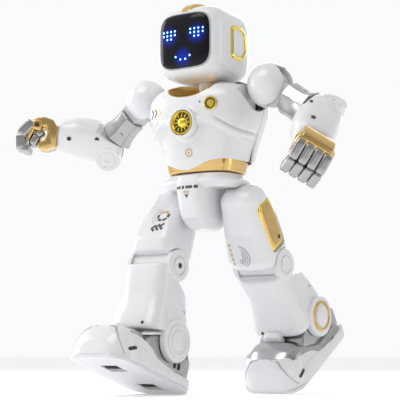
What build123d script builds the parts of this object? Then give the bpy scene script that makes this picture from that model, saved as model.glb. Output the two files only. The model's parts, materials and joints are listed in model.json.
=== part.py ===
"""A walking humanoid robot toy, about 386 mm tall when it stands straight.

Every piece is drawn in the straight standing pose: +X is the robot's left, -Y is its front, +Z is up,
and the hip axis runs along X through the origin. pose_of() then turns each body about its joints into
the walking pose that the part is stored in, and the whole robot is moved so that the middle of the
bottom of its bounding box is the origin. All sizes are in millimetres and all angles in degrees.
"""
from build123d import *
import os

# ---------------------------------------------------------------- driving dimensions
WALL = 2.4                  # moulded shell thickness
GAP = 0.4                   # air between parts that move on each other
PIN_CLEAR = 0.05            # radial running clearance of every pin

# legs
LEG_X = 38.0                # leg centre from the middle
THIGH_LEN = 70.0            # hip axis to knee axis
SHANK_LEN = 74.5            # knee axis to ankle axis
ANKLE_HEIGHT = 41.5         # ankle axis above the sole
THIGH_W = 42.0
HIP_R = 17.0                # rounded top of the thigh
KNEE_R = 16.5               # knee disc
KNEE_BARREL_R = 13.5
KNEE_HALF_W = 27.0          # knee disc faces from the leg centre
ANKLE_R = 21.0              # ankle disc
ANKLE_HALF_W = 34.0
FOOT_W = 70.0
TOE_Y, HEEL_Y = -80.0, 39.0  # ends of the foot from the ankle axis
FOOT_SIDE_H = 18.0          # height of the foot's side wall beside the ankle
AXLE_R = 3.0

# pelvis and torso
PELVIS_W = 33.0
CROTCH_Z = -26.0
FLANGE_Z = (18.5, 23.5, 29.5)
WAIST_Z = 30.0
BELT_TOP_Z = 42.0
CHEST_SPLIT_Z = 72.0        # seam between chest and abdomen
BACK_SPLIT_Y = 8.0          # seam between front and back shells
WAIST_POST_R = 12.0
BUTTON_Z, BUTTON_R = 77.5, 12.0
LAMP_X, LAMP_Z, LAMP_R = 29.0, 95.0, 6.8
# (height, width, front y, back y, corner radius) of the torso, bottom to top
TORSO = [
    (30.4, 88.0, -38.0, 26.0, 26.0),
    (42.0, 92.0, -40.0, 30.0, 27.0),
    (62.0, 100.0, -43.0, 36.0, 29.0),
    (84.0, 114.0, -46.0, 40.0, 31.0),
    (104.0, 118.0, -43.0, 40.0, 31.0),
    (115.0, 106.0, -37.0, 35.0, 28.0),
    (121.5, 72.0, -26.0, 26.0, 20.0),
]

# head
HEAD_C = (0.0, -10.0, 160.0)
HEAD_W, HEAD_D, HEAD_H, HEAD_R = 76.0, 76.0, 74.0, 24.0
VISOR_W, VISOR_H, VISOR_R = 61.0, 57.0, 17.0
NECK_R = 9.0

# arms, left one; the raise axis is along Y and the swing axis along X through SHOULDER
SHOULDER = (73.0, -4.0, 114.0)
SHOULDER_R = 22.5
SOCKET_X = 49.0             # flat of the torso's shoulder socket
LUG_R, LUG_HALF, PIN_HALF = 16.0, 9.5, 15.5
UPPER_LEN = 71.0            # shoulder centre to elbow axis
SLEEVE_TOP, SLEEVE_END = 24.0, 51.5
SLEEVE_W, SLEEVE_D = 33.0, 30.0
ELBOW_Y = 6.0               # elbow axis behind the arm's centre line
ELBOW_R = 13.0
TONGUE_HALF = 8.0
FOREARM_LEN = 57.0          # elbow axis to wrist
WRIST_R = 9.0

# ---------------------------------------------------------------- walking pose
# absolute angles from the straight pose; forward swings, flexion and outward raises are positive
POSE = {
    "waist_turn": 3.0, "neck_turn": 0.0,
    "swing_left": 0.0, "raise_left": 55.0, "twist_left": -21.0, "elbow_left": 56.0, "wrist_left": -14.0,
    "swing_right": 0.0, "raise_right": 50.0, "twist_right": 50.0, "elbow_right": 59.0, "wrist_right": 62.0,
    "hip_left": -34.0, "knee_left": 14.0, "ankle_left": 15.5,
    "hip_right": 30.0, "knee_right": 21.0, "ankle_right": 9.0,
}

# real travel of each joint, from the straight pose
TRAVEL = {
    "waist_turn": (-30, 30), "neck_turn": (-60, 60),
    "swing": (-45, 100), "raise": (18, 90), "twist": (-40, 75), "elbow": (0, 70), "wrist": (-70, 70),
    "hip": (-42, 50), "knee": (0, 52), "ankle": (-16, 17),
}


# ---------------------------------------------------------------- helpers
def at(x=0.0, y=0.0, z=0.0):
    return Location((x, y, z))


def bar(radius, start, end, axis="x"):
    """A cylinder along one axis, from start to end, centred on the other two."""
    length = end - start
    turn = {"x": (0, 90, 0), "y": (90, 0, 0), "z": (0, 0, 0)}[axis]
    mid = (start + end) / 2
    place = {"x": at(mid), "y": at(0, mid), "z": at(0, 0, mid)}[axis]
    return place * Location((0, 0, 0), turn) * Cylinder(radius, length)


def block(x0, x1, y0, y1, z0, z1):
    return at((x0 + x1) / 2, (y0 + y1) / 2, (z0 + z1) / 2) * Box(x1 - x0, y1 - y0, z1 - z0)


def skin(sections, inset=0.0, low=0.0, high=0.0):
    """A solid through rounded rectangles (z, width, front y, back y, radius[, x]), drawn in by inset."""
    faces = []
    last = len(sections) - 1
    for i, (z, width, front, back, radius, *shift) in enumerate(sections):
        z += low if i == 0 else high if i == last else 0.0
        w, d = width - 2 * inset, back - front - 2 * inset
        r = min(max(radius - inset, 2.0), w / 2 - 0.2, d / 2 - 0.2)
        faces.append(at(sum(shift), (front + back) / 2, z) * RectangleRounded(w, d, r))
    return loft(faces)


def side_plate(points, x0, x1):
    """A plate between x0 and x1 whose outline is given as (y, z) points."""
    face = make_face(Polyline(*[(0, y, z) for y, z in points], close=True))
    return at(x0) * extrude(face, x1 - x0, dir=(1, 0, 0))


def rounded(part, radius, edges=None):
    """The part with its edges rounded, as far as the kernel can."""
    for r in (radius, radius * 0.7, radius * 0.4):
        try:
            made = fillet(edges if edges is not None else part.edges(), r)
            if made.is_valid and made.volume > 0:
                return made
        except Exception:
            continue
    return part


def largest(part):
    return max(part.solids(), key=lambda s: s.volume)


def mirrored(part):
    return mirror(part, about=Plane.YZ)


# ---------------------------------------------------------------- pelvis
def pelvis_shell():
    side = [(-33, 24), (-37, 8), (-33, -16), (-22, CROTCH_Z), (8, CROTCH_Z), (20, -16), (24, 24)]
    half = PELVIS_W / 2
    crotch = side_plate(side, -half, half)
    crotch = rounded(crotch, 6.0, crotch.edges().filter_by(Axis.X))
    hollow = side_plate([(y * 0.88, z * 0.88 - 1) for y, z in side], WALL - half, half - WALL)
    boss = bar(AXLE_R + 3, -half, half)
    z0, z1, z2 = FLANGE_Z
    flange = skin([(z0, 76, -33, 24, 20), (z1, 88, -38, 28, 24), (z2, 82, -35, 26, 24)])
    cup = skin([(z0 - 3, 66, -28, 19, 16), (z2 - 4, 76, -32, 23, 20)])
    web = block(-half, half, -30, 22, z0 - 1, z2 - 3)
    post = at(0, -4) * bar(WAIST_POST_R, z0, WAIST_Z + 8, "z")
    body = crotch - hollow + boss + (flange - cup) + web + post
    body -= at(0, -4) * bar(WAIST_POST_R - 4, z0 - 8, WAIST_Z + 9, "z")
    return largest(body - bar(AXLE_R, -60, 60))


def hip_axle():
    rod = bar(AXLE_R, -54, 54)
    ring = bar(AXLE_R + 2.5, 50, 52)
    return rod + ring + mirrored(ring)


# ---------------------------------------------------------------- torso
def shoulder_socket_cut():
    x, y, z = SHOULDER
    hole = at(0, y, z) * bar(SHOULDER_R + 1.6, SOCKET_X, 110)
    return hole + mirrored(hole)


def torso_cavity():
    return skin(TORSO, inset=WALL, low=-5, high=5) & block(-80, 80, -80, 80, 20, TORSO[-1][0] - WALL)


def torso_wall():
    return skin(TORSO) - torso_cavity() - shoulder_socket_cut()


def button_hole():
    return at(0, 0, BUTTON_Z) * bar(BUTTON_R + 0.3, -60, -20, "y")


def lamp_place():
    """The shoulder lamp's frame: its z axis leaves the chest."""
    return at(LAMP_X, -39.6, LAMP_Z) * Location((0, 0, 0), (0, 0, 24)) * Location((0, 0, 0), (90, 0, 0))


def lamp_hole():
    return lamp_place() * Cylinder(LAMP_R + 0.1, 14)


def neck_hole():
    return at(HEAD_C[0], -4) * bar(NECK_R + GAP, 100, 140, "z")


def chest_shell(wall):
    part = wall & block(-80, 80, -80, BACK_SPLIT_Y, CHEST_SPLIT_Z, 140)
    return largest(part - button_hole() - lamp_hole() - neck_hole())


def abdomen_shell(wall):
    part = wall & block(-80, 80, -80, BACK_SPLIT_Y, BELT_TOP_Z, CHEST_SPLIT_Z)
    grille = [at(x, -40, 55) * bar(1.0, -8, 8, "y") for x in (-6, -2, 2, 6)]
    part -= button_hole()
    for hole in grille:
        part -= hole
    return largest(part)


COVER_BOX = (-28.0, 28.0, 50.0, 96.0)     # battery cover: x0, x1, z0, z1
SWITCH_X, SWITCH_Z = 8.0, 104.0           # power switch
SCREW_SPOTS = [(-42, 52), (42, 52), (-36, 88), (36, 88), (-20, 108), (20, 108)]


def back_shell(wall):
    part = wall & block(-80, 80, BACK_SPLIT_Y, 80, BELT_TOP_Z, 140)
    x0, x1, z0, z1 = COVER_BOX
    part -= block(x0 - 0.3, x1 + 0.3, 20, 60, z0 - 0.3, z1 + 0.3)
    part -= block(SWITCH_X - 7.5, SWITCH_X + 7.5, 20, 60, SWITCH_Z - 2.3, SWITCH_Z + 2.3)
    for x, z in SCREW_SPOTS:
        part -= at(x, 0, z) * bar(1.5, 10, 60, "y")
    return largest(part - neck_hole())


def battery_cover(wall):
    x0, x1, z0, z1 = COVER_BOX
    return largest(wall & block(x0, x1, 20, 60, z0, z1))


def waist_belt():
    outer = skin(TORSO) & block(-80, 80, -80, 80, 30, BELT_TOP_Z)
    inner = skin(TORSO, inset=WALL, low=-5, high=5) & block(-80, 80, -80, 80, 33, BELT_TOP_Z + 1)
    return largest(outer - inner - at(0, -4) * bar(WAIST_POST_R + GAP, 20, 60, "z"))


def collar_trim():
    """A crescent that lies on the chest in front of the neck."""
    skin_band = skin(TORSO, inset=-1.2, high=1.2) - skin(TORSO)
    crescent = at(0, -9) * bar(31, 104, 122.3, "z") - at(0, -3) * bar(25, 100, 130, "z")
    return largest(skin_band & crescent & block(-50, 50, -60, -8, 104, 122.3))


def battery_pack():
    return rounded(block(-25, 25, 14, 31, 52, 94), 3.0)


def main_board():
    board = block(-30, 30, 5, 6.6, 50, 104)
    chips = block(-10, 10, 3, 5, 70, 90) + block(14, 24, 2, 5, 56, 64) + block(-24, -14, 2.6, 5, 56, 66)
    return board + chips


def speaker():
    return at(0, 0, 55) * (bar(13, -34, -31, "y") + bar(8, -31, -24, "y"))


def shoulder_drives():
    x, y, z = SHOULDER
    plate = bar(SHOULDER_R + 1.5, SOCKET_X - 3, SOCKET_X - 0.4)
    box = block(SOCKET_X - 17, SOCKET_X - 3, -11, 11, -15, 12)
    shaft = bar(3.7, SOCKET_X - 3, SOCKET_X + 6)
    drive = largest(at(0, y, z) * (plate + box) & torso_cavity()) + at(0, y, z) * shaft
    return Compound([drive, mirrored(drive)])


def torso_screws(wall):
    made = []
    for x, z in SCREW_SPOTS:
        line = at(x, 0, z) * bar(1.45, 12, 60, "y")
        made.append(largest((wall & line)))
    return Compound(made)


def chest_button():
    z = BUTTON_Z
    cap = at(0, 0, z) * (bar(BUTTON_R, -50.5, -45, "y") + bar(BUTTON_R * 0.55, -52.5, -50, "y"))
    stem = at(0, 0, z) * bar(3.0, -45, -36, "y")
    return cap + stem


def chest_lamp():
    return lamp_place() * (Cylinder(LAMP_R, 7) + at(0, 0, 4) * Cone(LAMP_R * 0.7, LAMP_R * 0.4, 2.0))


def power_switch():
    knob = block(SWITCH_X - 3, SWITCH_X + 3, 34.0, 41.5, SWITCH_Z - 2.0, SWITCH_Z + 2.0)
    foot = block(SWITCH_X - 5, SWITCH_X + 5, 31.0, 34.0, SWITCH_Z - 2.0, SWITCH_Z + 2.0)
    return knob + foot


# ---------------------------------------------------------------- head
def head_block(grow=0.0):
    w, d, h = HEAD_W + 2 * grow, HEAD_D + 2 * grow, HEAD_H + 2 * grow
    box = Box(w, d, h)
    return at(*HEAD_C) * fillet(box.edges(), HEAD_R + grow)


def visor_prism(grow=0.0):
    x, y, z = HEAD_C
    face = RectangleRounded(VISOR_W + 2 * grow, VISOR_H + 2 * grow, VISOR_R + grow)
    prism = extrude(face, 30)
    return at(x, y - HEAD_D / 2 + 12, z) * Location((0, 0, 0), (90, 0, 0)) * prism


def head_wall():
    x, y, z = HEAD_C
    neck = at(0, -4) * bar(NECK_R, 110, z, "z")
    return head_block() - head_block(-WALL) - neck - visor_prism(0.15)


def head_front_shell(wall):
    return largest(wall & block(-60, 60, -80, HEAD_C[1] + 4, 100, 220))


def head_rear_shell(wall):
    return largest(wall & block(-60, 60, HEAD_C[1] + 4, 80, 100, 220))


def visor_lens():
    lens = (head_block() - head_block(-1.8)) & visor_prism()
    return largest(lens)


def led_board():
    x, y, z = HEAD_C
    front = y - HEAD_D / 2
    board = block(-25, 25, front + 9, front + 10.6, z - 19, z + 19)
    for side in (-1, 1):
        for col in range(4):
            for row in range(3 if col in (1, 2) else 2):
                spot = at(side * 16 + (col - 1.5) * 4.9, 0, z + 10 - row * 3.9)
                board += spot * bar(0.9, front + 8.2, front + 9.1, "y")
    return board


def head_crest():
    x, y, z = HEAD_C
    top = z + HEAD_H / 2
    side = [(y - 33, top - 9), (y - 28, top + 1), (y - 14, top + 5), (y + 4, top + 5), (y + 20, top),
            (y + 26, top - 7)]
    fin = side_plate(side, -9, 9)
    fin = rounded(fin, 2.0, fin.edges().filter_by(Axis.X))
    return largest(fin - head_block(0.0))


def ear_trims():
    x, y, z = HEAD_C
    outline = [(-12, -15), (6, -15), (14, -5), (12, 11), (4, 15), (-12, 15)]

    def ring(grow):
        return side_plate([(y + 4 + dy * grow, z + dz * grow) for dy, dz in outline], 0, 60)

    band = ring(1.0) - ring(0.78)
    left = largest((head_block(1.2) - head_block(0.0)) & band & block(20, 60, -60, 60, 100, 220))
    return Compound([left, mirrored(left)])


def neck_shaft():
    x, y, z = HEAD_C
    tube = bar(NECK_R, 114, z - HEAD_H / 2 + WALL + 3, "z") - bar(NECK_R - 3, 110, 150, "z")
    return at(0, -4) * tube


# ---------------------------------------------------------------- arm, left
def shoulder_housing():
    ball = Sphere(SHOULDER_R) & block(SOCKET_X + GAP - SHOULDER[0], 40, -40, 40, -40, 40)
    slot = bar(LUG_R + GAP, -LUG_HALF - GAP, LUG_HALF + GAP, "y")
    slot += block(0, 60, -LUG_HALF - GAP, LUG_HALF + GAP, -60, LUG_R + GAP)
    slot += block(-LUG_R - GAP, 0, -LUG_HALF - GAP, LUG_HALF + GAP, -60, 0) & block(
        -7, 60, -20, 20, -60, 60)
    body = ball - slot - bar(2.5 + PIN_CLEAR, -PIN_HALF - 0.3, PIN_HALF + 0.3, "y")
    body -= bar(3.7 + PIN_CLEAR, -40, SOCKET_X + 6.3 - SHOULDER[0])
    return at(*SHOULDER) * largest(body)


def arm_lug():
    disc = bar(LUG_R, -LUG_HALF, LUG_HALF, "y")
    pin = bar(2.5, -PIN_HALF, PIN_HALF, "y")
    spindle = bar(6.0, -33, 0, "z") + bar(8.0, -33, -29, "z")
    neck = block(-11, 11, -LUG_HALF, LUG_HALF, -SLEEVE_TOP + GAP, -8)
    return at(*SHOULDER) * (disc + pin + spindle + neck)


def upper_arm_sleeve():
    x, y, z = SHOULDER
    body = at(0, 0, -SLEEVE_END) * extrude(chamfer(Rectangle(SLEEVE_W, SLEEVE_D).vertices(), 6.0),
                                           SLEEVE_END - SLEEVE_TOP)
    rim = at(0, 0, -SLEEVE_END) * extrude(chamfer(Rectangle(SLEEVE_W + 2, SLEEVE_D + 2).vertices(), 6.5), 2.0)
    body += rim
    bore = bar(6.0 + PIN_CLEAR, -40, 0, "z") + bar(8.0 + PIN_CLEAR + 0.2, -34, -28.7, "z")
    elbow = at(0, ELBOW_Y, -UPPER_LEN)
    tongue = elbow * bar(ELBOW_R - 1.5, -TONGUE_HALF, TONGUE_HALF)
    tongue += block(-TONGUE_HALF, TONGUE_HALF, ELBOW_Y - 9, ELBOW_Y + 5, -UPPER_LEN, -SLEEVE_END + 1)
    cheeks = elbow * (bar(ELBOW_R + GAP, TONGUE_HALF, 40) + bar(ELBOW_R + GAP, -40, -TONGUE_HALF))
    body = body - bore - cheeks + tongue - bar(7, -46, -34, "z")
    return at(x, y, z) * largest(body - elbow * bar(2.2 + PIN_CLEAR, -30, 30))


def elbow_axis():
    x, y, z = SHOULDER
    return (x, y + ELBOW_Y, z - UPPER_LEN)


def forearm_shell():
    """Drawn about the elbow axis: its front is cut back so that the elbow can bend."""
    shape = skin([(-FOREARM_LEN, 28, -23, 7, 12), (-38, 38, -32, 11, 17), (-16, 40, -32, 13, 17),
                  (12, 36, -26, 13, 12)])
    stop = TRAVEL["elbow"][1] + 1
    above = block(-60, 60, -80, 80, 5.6, 90)
    shape = shape - above - Location((0, 0, 0), (stop, 0, 0)) * above
    inner = skin([(-FOREARM_LEN - 5, 22, -20, 4, 9), (-38, 33, -29.5, 8.5, 14), (-24, 34, -29, 9, 14)])
    shape -= inner
    shape += bar(ELBOW_R, -18, -TONGUE_HALF - GAP) + bar(ELBOW_R, TONGUE_HALF + GAP, 18)
    shape -= bar(ELBOW_R - 1.5 + GAP, -TONGUE_HALF - GAP, TONGUE_HALF + GAP)
    shape -= bar(ELBOW_R, 18, 40) + bar(ELBOW_R, -40, -18)
    slot = block(-TONGUE_HALF - GAP, TONGUE_HALF + GAP, -9.6, 5.6, 0, 20)
    for bend in (0, stop / 2, stop):
        shape -= Location((0, 0, 0), (bend, 0, 0)) * slot
    shape -= bar(2.2, -30, 30)
    shape += at(0, -8, -FOREARM_LEN) * (bar(WRIST_R + 3, 0, 3, "z"))
    shape -= at(0, -8, -FOREARM_LEN) * bar(5.0 + PIN_CLEAR, -1, 30, "z")
    return at(*elbow_axis()) * largest(shape)


def elbow_pin():
    rod = bar(2.2, -17.8, 17.8) + bar(6.5, 18, 19.2) + bar(6.5, -19.2, -18) + bar(2.2, -18.2, 18.2)
    return at(*elbow_axis()) * rod


def wrist_centre():
    x, y, z = elbow_axis()
    return (x, y - 8, z - FOREARM_LEN)


def hand_palm():
    """The gold hand: its back faces outwards (+X), and the thumb side is to the front."""
    body = block(-8, 12, -17, 17, -28, -1.5)
    body = rounded(body, 5.0, body.edges().filter_by(Axis.Y) + body.edges().filter_by(Axis.Z))
    body -= block(-9, 4, -12, 12, -40, -13)
    stub = bar(5.0, -4, 5.5, "z") + bar(WRIST_R, -3, -0.5, "z") + bar(6.6, 3.6, 5.5, "z")
    return at(*wrist_centre()) * (body + stub)


def hand_fingers():
    """Four curled fingers, each one solid of two bones, and a thumb."""
    made = []
    bones = [(11.5, -26), (10, -34), (-6, -42), (-22, -38.5), (-26, -32), (-21, -27), (-8, -29.5), (3, -28.4)]
    for i in range(4):
        y = (i - 1.5) * 8.6
        face = make_face(Polyline(*[(x, y - 3.95, z) for x, z in bones], close=True))
        finger = extrude(face, 7.9, dir=(0, 1, 0))
        finger -= block(-8, 13.5, -20, 20, -28.4, 0)
        made.append(largest(rounded(finger, 1.5, finger.edges().filter_by(Axis.Y))))
    thumb = block(-15, -8, -16, -8.5, -26, -5) + block(-15, -8, -14, 0, -26, -18.5)
    made.append(largest(rounded(thumb, 1.6, thumb.edges().filter_by(Axis.X))))
    return at(*wrist_centre()) * Compound(made)


# ---------------------------------------------------------------- leg, left
def thigh_shell():
    """Drawn about the hip axis; the hip end sits further out than the knee end."""
    half_w = THIGH_W / 2
    body = skin([(-THIGH_LEN - 2, THIGH_W, -19, 20, 10), (-52, THIGH_W, -26, 21, 12),
                 (-24, THIGH_W, -23, 21, 12, 2.5), (4, 38, -16.6, 16.4, 9, 6)])
    body += bar(HIP_R - 0.2, -13, 25) & block(-20, 30, -30, 30, 0, 30)
    knee = at(0, 0, -THIGH_LEN)
    rear = Location((0, 2, -THIGH_LEN - 2), (25, 0, 0)) * block(-40, 40, 0, 60, -40, 0)
    body -= rear
    body += knee * bar(KNEE_BARREL_R, -half_w + 0.6, half_w - 0.6)
    cavity = skin([(-54, 36, -22, 14, 8), (-24, 36, -19, 17, 8, 2.5), (10, 32, -12, 12, 8, 6)])
    body -= cavity
    body += bar(6.0, -12, 24)
    slot = block(14, 40, -11, 13, -50, -2)
    body -= rounded(slot, 5.0, slot.edges().filter_by(Axis.X))
    body = body - bar(AXLE_R + PIN_CLEAR, -30, 18) - knee * bar(3.0 + PIN_CLEAR, -40, 40)
    collar = bar(AXLE_R + 2.5 + 0.3, 11.7, 14.3)
    return at(LEG_X) * largest(body - collar)


def thigh_trim():
    plate = block(17.4, 24.0, -10.7, 12.7, -49.7, -2.3)
    plate = rounded(plate, 4.7, plate.edges().filter_by(Axis.X))
    return at(LEG_X) * plate


def shank_shell():
    """Drawn about the knee axis."""
    body = skin([(-SHANK_LEN + 7, 60, -36, 24, 15), (-SHANK_LEN + 24, 56, -29, 25, 15),
                 (-30, 52, -24, 24, 14), (-5, 52, -24, 23, 13)])
    rear = Location((0, 1, -5), (-38, 0, 0)) * block(-60, 60, 0, 60, 0, 60)
    body -= rear
    inner = skin([(-SHANK_LEN + 2, 54.5, -33, 21.5, 12), (-SHANK_LEN + 24, 51, -26.5, 22, 12),
                  (-34, 46, -21.5, 21, 11)])
    body -= inner
    cheek = bar(KNEE_R, THIGH_W / 2 + 0.6, KNEE_HALF_W)
    strut = block(THIGH_W / 2 + 0.6, 26, -14, 14, -24, -4)
    body += cheek + strut + mirrored(cheek + strut)
    body -= bar(KNEE_BARREL_R + GAP, -THIGH_W / 2 - 0.6, THIGH_W / 2 + 0.6)
    ankle = at(0, 0, -SHANK_LEN)
    disc = bar(ANKLE_R, ANKLE_HALF_W - 6, ANKLE_HALF_W)
    arm = block(ANKLE_HALF_W - 6, 30, -14, 14, 0, 24)
    body += ankle * (disc + arm + mirrored(disc + arm))
    body = body - bar(3.0, -40, 40) - ankle * bar(3.0, -40, 40)
    return at(LEG_X, 0, -THIGH_LEN) * largest(body)


def knee_pin():
    rod = bar(3.0, -27, 27) + bar(8.0, 27, 28.4) + bar(8.0, -28.4, -27)
    return at(LEG_X, 0, -THIGH_LEN) * rod


def ankle_place():
    return at(LEG_X, 0, -THIGH_LEN - SHANK_LEN)


def ankle_pin():
    w = ANKLE_HALF_W
    rod = bar(3.0, -w, w) + bar(15.0, w, w + 1.6) + bar(15.0, -w - 1.6, -w)
    rod -= bar(11.0, w + 0.8, w + 4) + bar(11.0, -w - 4, -w - 0.8)
    rod += bar(10.0, w, w + 1.4) + bar(10.0, -w - 1.4, -w)
    return ankle_place() * rod


SOLE_Z = -ANKLE_HEIGHT
PLATE_H = 3.0
WHEEL_R, WHEEL_HALF = 8.0, 9.0
WHEEL_Y = {"front": -44.0, "rear": 14.0}


def foot_outline(inset=0.0):
    """The foot in plan, a rounded rectangle with a rounder toe."""
    w = FOOT_W - 2 * inset
    front, back = TOE_Y + inset, HEEL_Y - inset
    body = at(0, (front + back) / 2) * RectangleRounded(w, back - front, 16 - inset)
    return body


def foot_side():
    """The foot's side view as (y, z) points: toe dome, instep edge and low heel."""
    z0 = SOLE_Z + PLATE_H
    return [(TOE_Y, z0), (TOE_Y, z0 + 10), (-77, -17), (-70, -7), (-58, -1.5), (-42, -0.5), (-36, -3),
            (-28, -12), (-20, SOLE_Z + FOOT_SIDE_H + 2), (0, SOLE_Z + FOOT_SIDE_H - 1),
            (18, SOLE_Z + FOOT_SIDE_H), (HEEL_Y, SOLE_Z + 15), (HEEL_Y, z0)]


def wheel_wells():
    cut = None
    for y in WHEEL_Y.values():
        well = at(0, y, SOLE_Z + 6) * Box(2 * WHEEL_HALF + 2.4, 2 * WHEEL_R + 3, 18)
        cut = well if cut is None else cut + well
    return cut


def foot_shell():
    solid = extrude(at(0, 0, SOLE_Z + PLATE_H) * foot_outline(), 60)
    solid &= side_plate(foot_side(), -60, 60)
    crown = [e for e in solid.edges() if e.center().Z > -12]
    solid = rounded(solid, 9.0, crown)
    hollow = extrude(at(0, 0, SOLE_Z + PLATE_H - 1) * foot_outline(WALL), 60)
    low = [(y, z - 2.6 if z > SOLE_Z + PLATE_H else z - 3) for y, z in foot_side()]
    nose = hollow & side_plate(low, -60, 60)
    rear = hollow & block(-60, 60, -37.2, 60, -60, 20)
    return ankle_place() * largest(solid - nose - rear)


def foot_insert():
    """The silver saddle round the ankle, inside the white foot shell."""
    floor = SOLE_Z + PLATE_H + 0.1
    plan = at(0, 1, floor) * RectangleRounded(2 * (ANKLE_HALF_W - 6.6), 68, 12)
    side = [(-33, floor), (-33, -9), (-24, -5), (-7, 4.5), (7, 4.5), (13, -0.5), (27, -0.5), (35, -12),
            (35, floor)]
    body = extrude(plan, 60) & side_plate(side, -60, 60)
    swept = [(-18, -14), (-30, 2), (-30, 60), (40, 60), (22, 4), (16, -14), (0, -20)]
    cup = side_plate(swept, -22, 22)
    body -= cup
    body -= block(-23, 23, -28, 27, SOLE_Z, SOLE_Z + 19)
    body -= bar(3.0 + PIN_CLEAR, -60, 60)
    return ankle_place() * largest(body)


def sole_plate():
    plate = extrude(at(0, 0, SOLE_Z) * foot_outline(0.6), PLATE_H - 0.1)
    bearing = None
    for y in WHEEL_Y.values():
        for side in (-1, 1):
            x = side * (WHEEL_HALF + 3.0)
            post = block(x - 1.4, x + 1.4, y - 4, y + 4, SOLE_Z + 2, SOLE_Z + WHEEL_R + 5)
            plate += post
    plate -= wheel_wells() & block(-WHEEL_HALF - 1.2, WHEEL_HALF + 1.2, -80, 80, -60, -20)
    for y in WHEEL_Y.values():
        plate -= at(0, y, SOLE_Z + WHEEL_R + 0.4) * bar(2.0 + PIN_CLEAR, -30, 30)
    return ankle_place() * largest(plate)


def wheel(which):
    y = WHEEL_Y[which]
    axle = bar(2.0, -WHEEL_HALF - 4, WHEEL_HALF + 4)
    tyre = bar(WHEEL_R, -WHEEL_HALF, WHEEL_HALF)
    for x in (-4.5, 0.0, 4.5):
        tyre -= bar(WHEEL_R + 1, x - 0.6, x + 0.6) - bar(WHEEL_R - 0.8, x - 1, x + 1)
    return ankle_place() * at(0, y, SOLE_Z + WHEEL_R + 0.4) * (axle + tyre)


def foot_motor():
    """The gear motor that lies across the foot, between the two wheels."""
    y = (WHEEL_Y["front"] + WHEEL_Y["rear"]) / 2
    z = SOLE_Z + PLATE_H + 6.6
    can = at(0, y - 2, z) * bar(6.0, -13, 13)
    box = at(0, y - 2, z) * block(13, 21, -8, 6, -6.4, 6.4)
    return ankle_place() * (can + box)


# ---------------------------------------------------------------- bodies, joints and pose
def sides(name):
    return [name + "_left", name + "_right"]


BODIES = {
    "pelvis": ["pelvis_shell", "hip_axle"],
    "torso": ["chest_shell", "abdomen_shell", "back_shell", "battery_cover", "waist_belt", "collar_trim",
              "battery_pack", "main_board", "speaker", "shoulder_drives", "torso_screws", "chest_lamp"],
    "chest_button": ["chest_button"],
    "power_switch": ["power_switch"],
    "head": ["head_front_shell", "head_rear_shell", "visor_lens", "led_board", "head_crest", "ear_trims",
             "neck_shaft"],
}
LIMB_BODIES = {
    "shoulder": ["shoulder_housing"], "arm_lug": ["arm_lug"], "upper_arm": ["upper_arm_sleeve"],
    "forearm": ["forearm_shell", "elbow_pin"], "hand": ["hand_palm", "hand_fingers"],
    "thigh": ["thigh_shell", "thigh_trim"], "shank": ["shank_shell", "knee_pin", "ankle_pin"],
    "foot": ["foot_shell", "foot_insert", "sole_plate", "foot_motor"],
    "front_wheel": ["front_wheel"], "rear_wheel": ["rear_wheel"],
}
for _side in ("left", "right"):
    for _body, _nodes in LIMB_BODIES.items():
        BODIES[f"{_body}_{_side}"] = [f"{n}_{_side}" for n in _nodes]


def joints():
    """(joint, kind, parent, child, point, axis, travel from the straight pose), root first."""
    made = [
        ("waist_turn", "hinge", "pelvis", "torso", (0, -4, WAIST_Z), (0, 0, 1), TRAVEL["waist_turn"]),
        ("neck_turn", "hinge", "torso", "head", (0, -4, TORSO[-1][0]), (0, 0, 1), TRAVEL["neck_turn"]),
        ("button_press", "slide", "torso", "chest_button", (0, -46, BUTTON_Z), (0, 1, 0), (0, 1.5)),
        ("power_slide", "slide", "torso", "power_switch", (SWITCH_X, 40, SWITCH_Z), (1, 0, 0), (-2, 2)),
    ]
    sx, sy, sz = SHOULDER
    ex, ey, ez = elbow_axis()
    wx, wy, wz = wrist_centre()
    knee_z, ankle_z = -THIGH_LEN, -THIGH_LEN - SHANK_LEN
    for side, s in (("left", 1), ("right", -1)):
        arm = [
            ("swing", "torso", "shoulder", (s * sx, sy, sz), (-1, 0, 0)),
            ("raise", "shoulder", "arm_lug", (s * sx, sy, sz), (0, -s, 0)),
            ("twist", "arm_lug", "upper_arm", (s * sx, sy, sz), (0, 0, s)),
            ("elbow", "upper_arm", "forearm", (s * ex, ey, ez), (-1, 0, 0)),
            ("wrist", "forearm", "hand", (s * wx, wy, wz), (0, 0, -s)),
        ]
        leg = [
            ("hip", "pelvis", "thigh", (s * LEG_X, 0, 0), (-1, 0, 0)),
            ("knee", "thigh", "shank", (s * LEG_X, 0, knee_z), (1, 0, 0)),
            ("ankle", "shank", "foot", (s * LEG_X, 0, ankle_z), (-1, 0, 0)),
        ]
        for name, parent, child, point, axis in arm + leg:
            parent = parent if parent in ("torso", "pelvis") else f"{parent}_{side}"
            made.append((f"{name}_{side}", "hinge", parent, f"{child}_{side}", point, axis, TRAVEL[name]))
        for which, y in WHEEL_Y.items():
            point = (s * LEG_X, y, ankle_z + SOLE_Z + WHEEL_R + 0.4)
            made.append((f"{which}_roll_{side}", "hinge", f"foot_{side}", f"{which}_wheel_{side}", point,
                         (1, 0, 0), None))
    return made


def turned(point, axis, angle):
    """The Location that turns things by an angle about a line."""
    origin = Location(point)
    return origin * Location((0, 0, 0), axis, angle) * origin.inverse()


def pose_of():
    """Where each body stands in the walking pose: body name to Location."""
    place = {"pelvis": Location((0, 0, 0))}
    for name, _, parent, child, point, axis, _ in joints():
        place[child] = place[parent] * turned(point, axis, POSE.get(name, 0.0))
    return place


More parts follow.
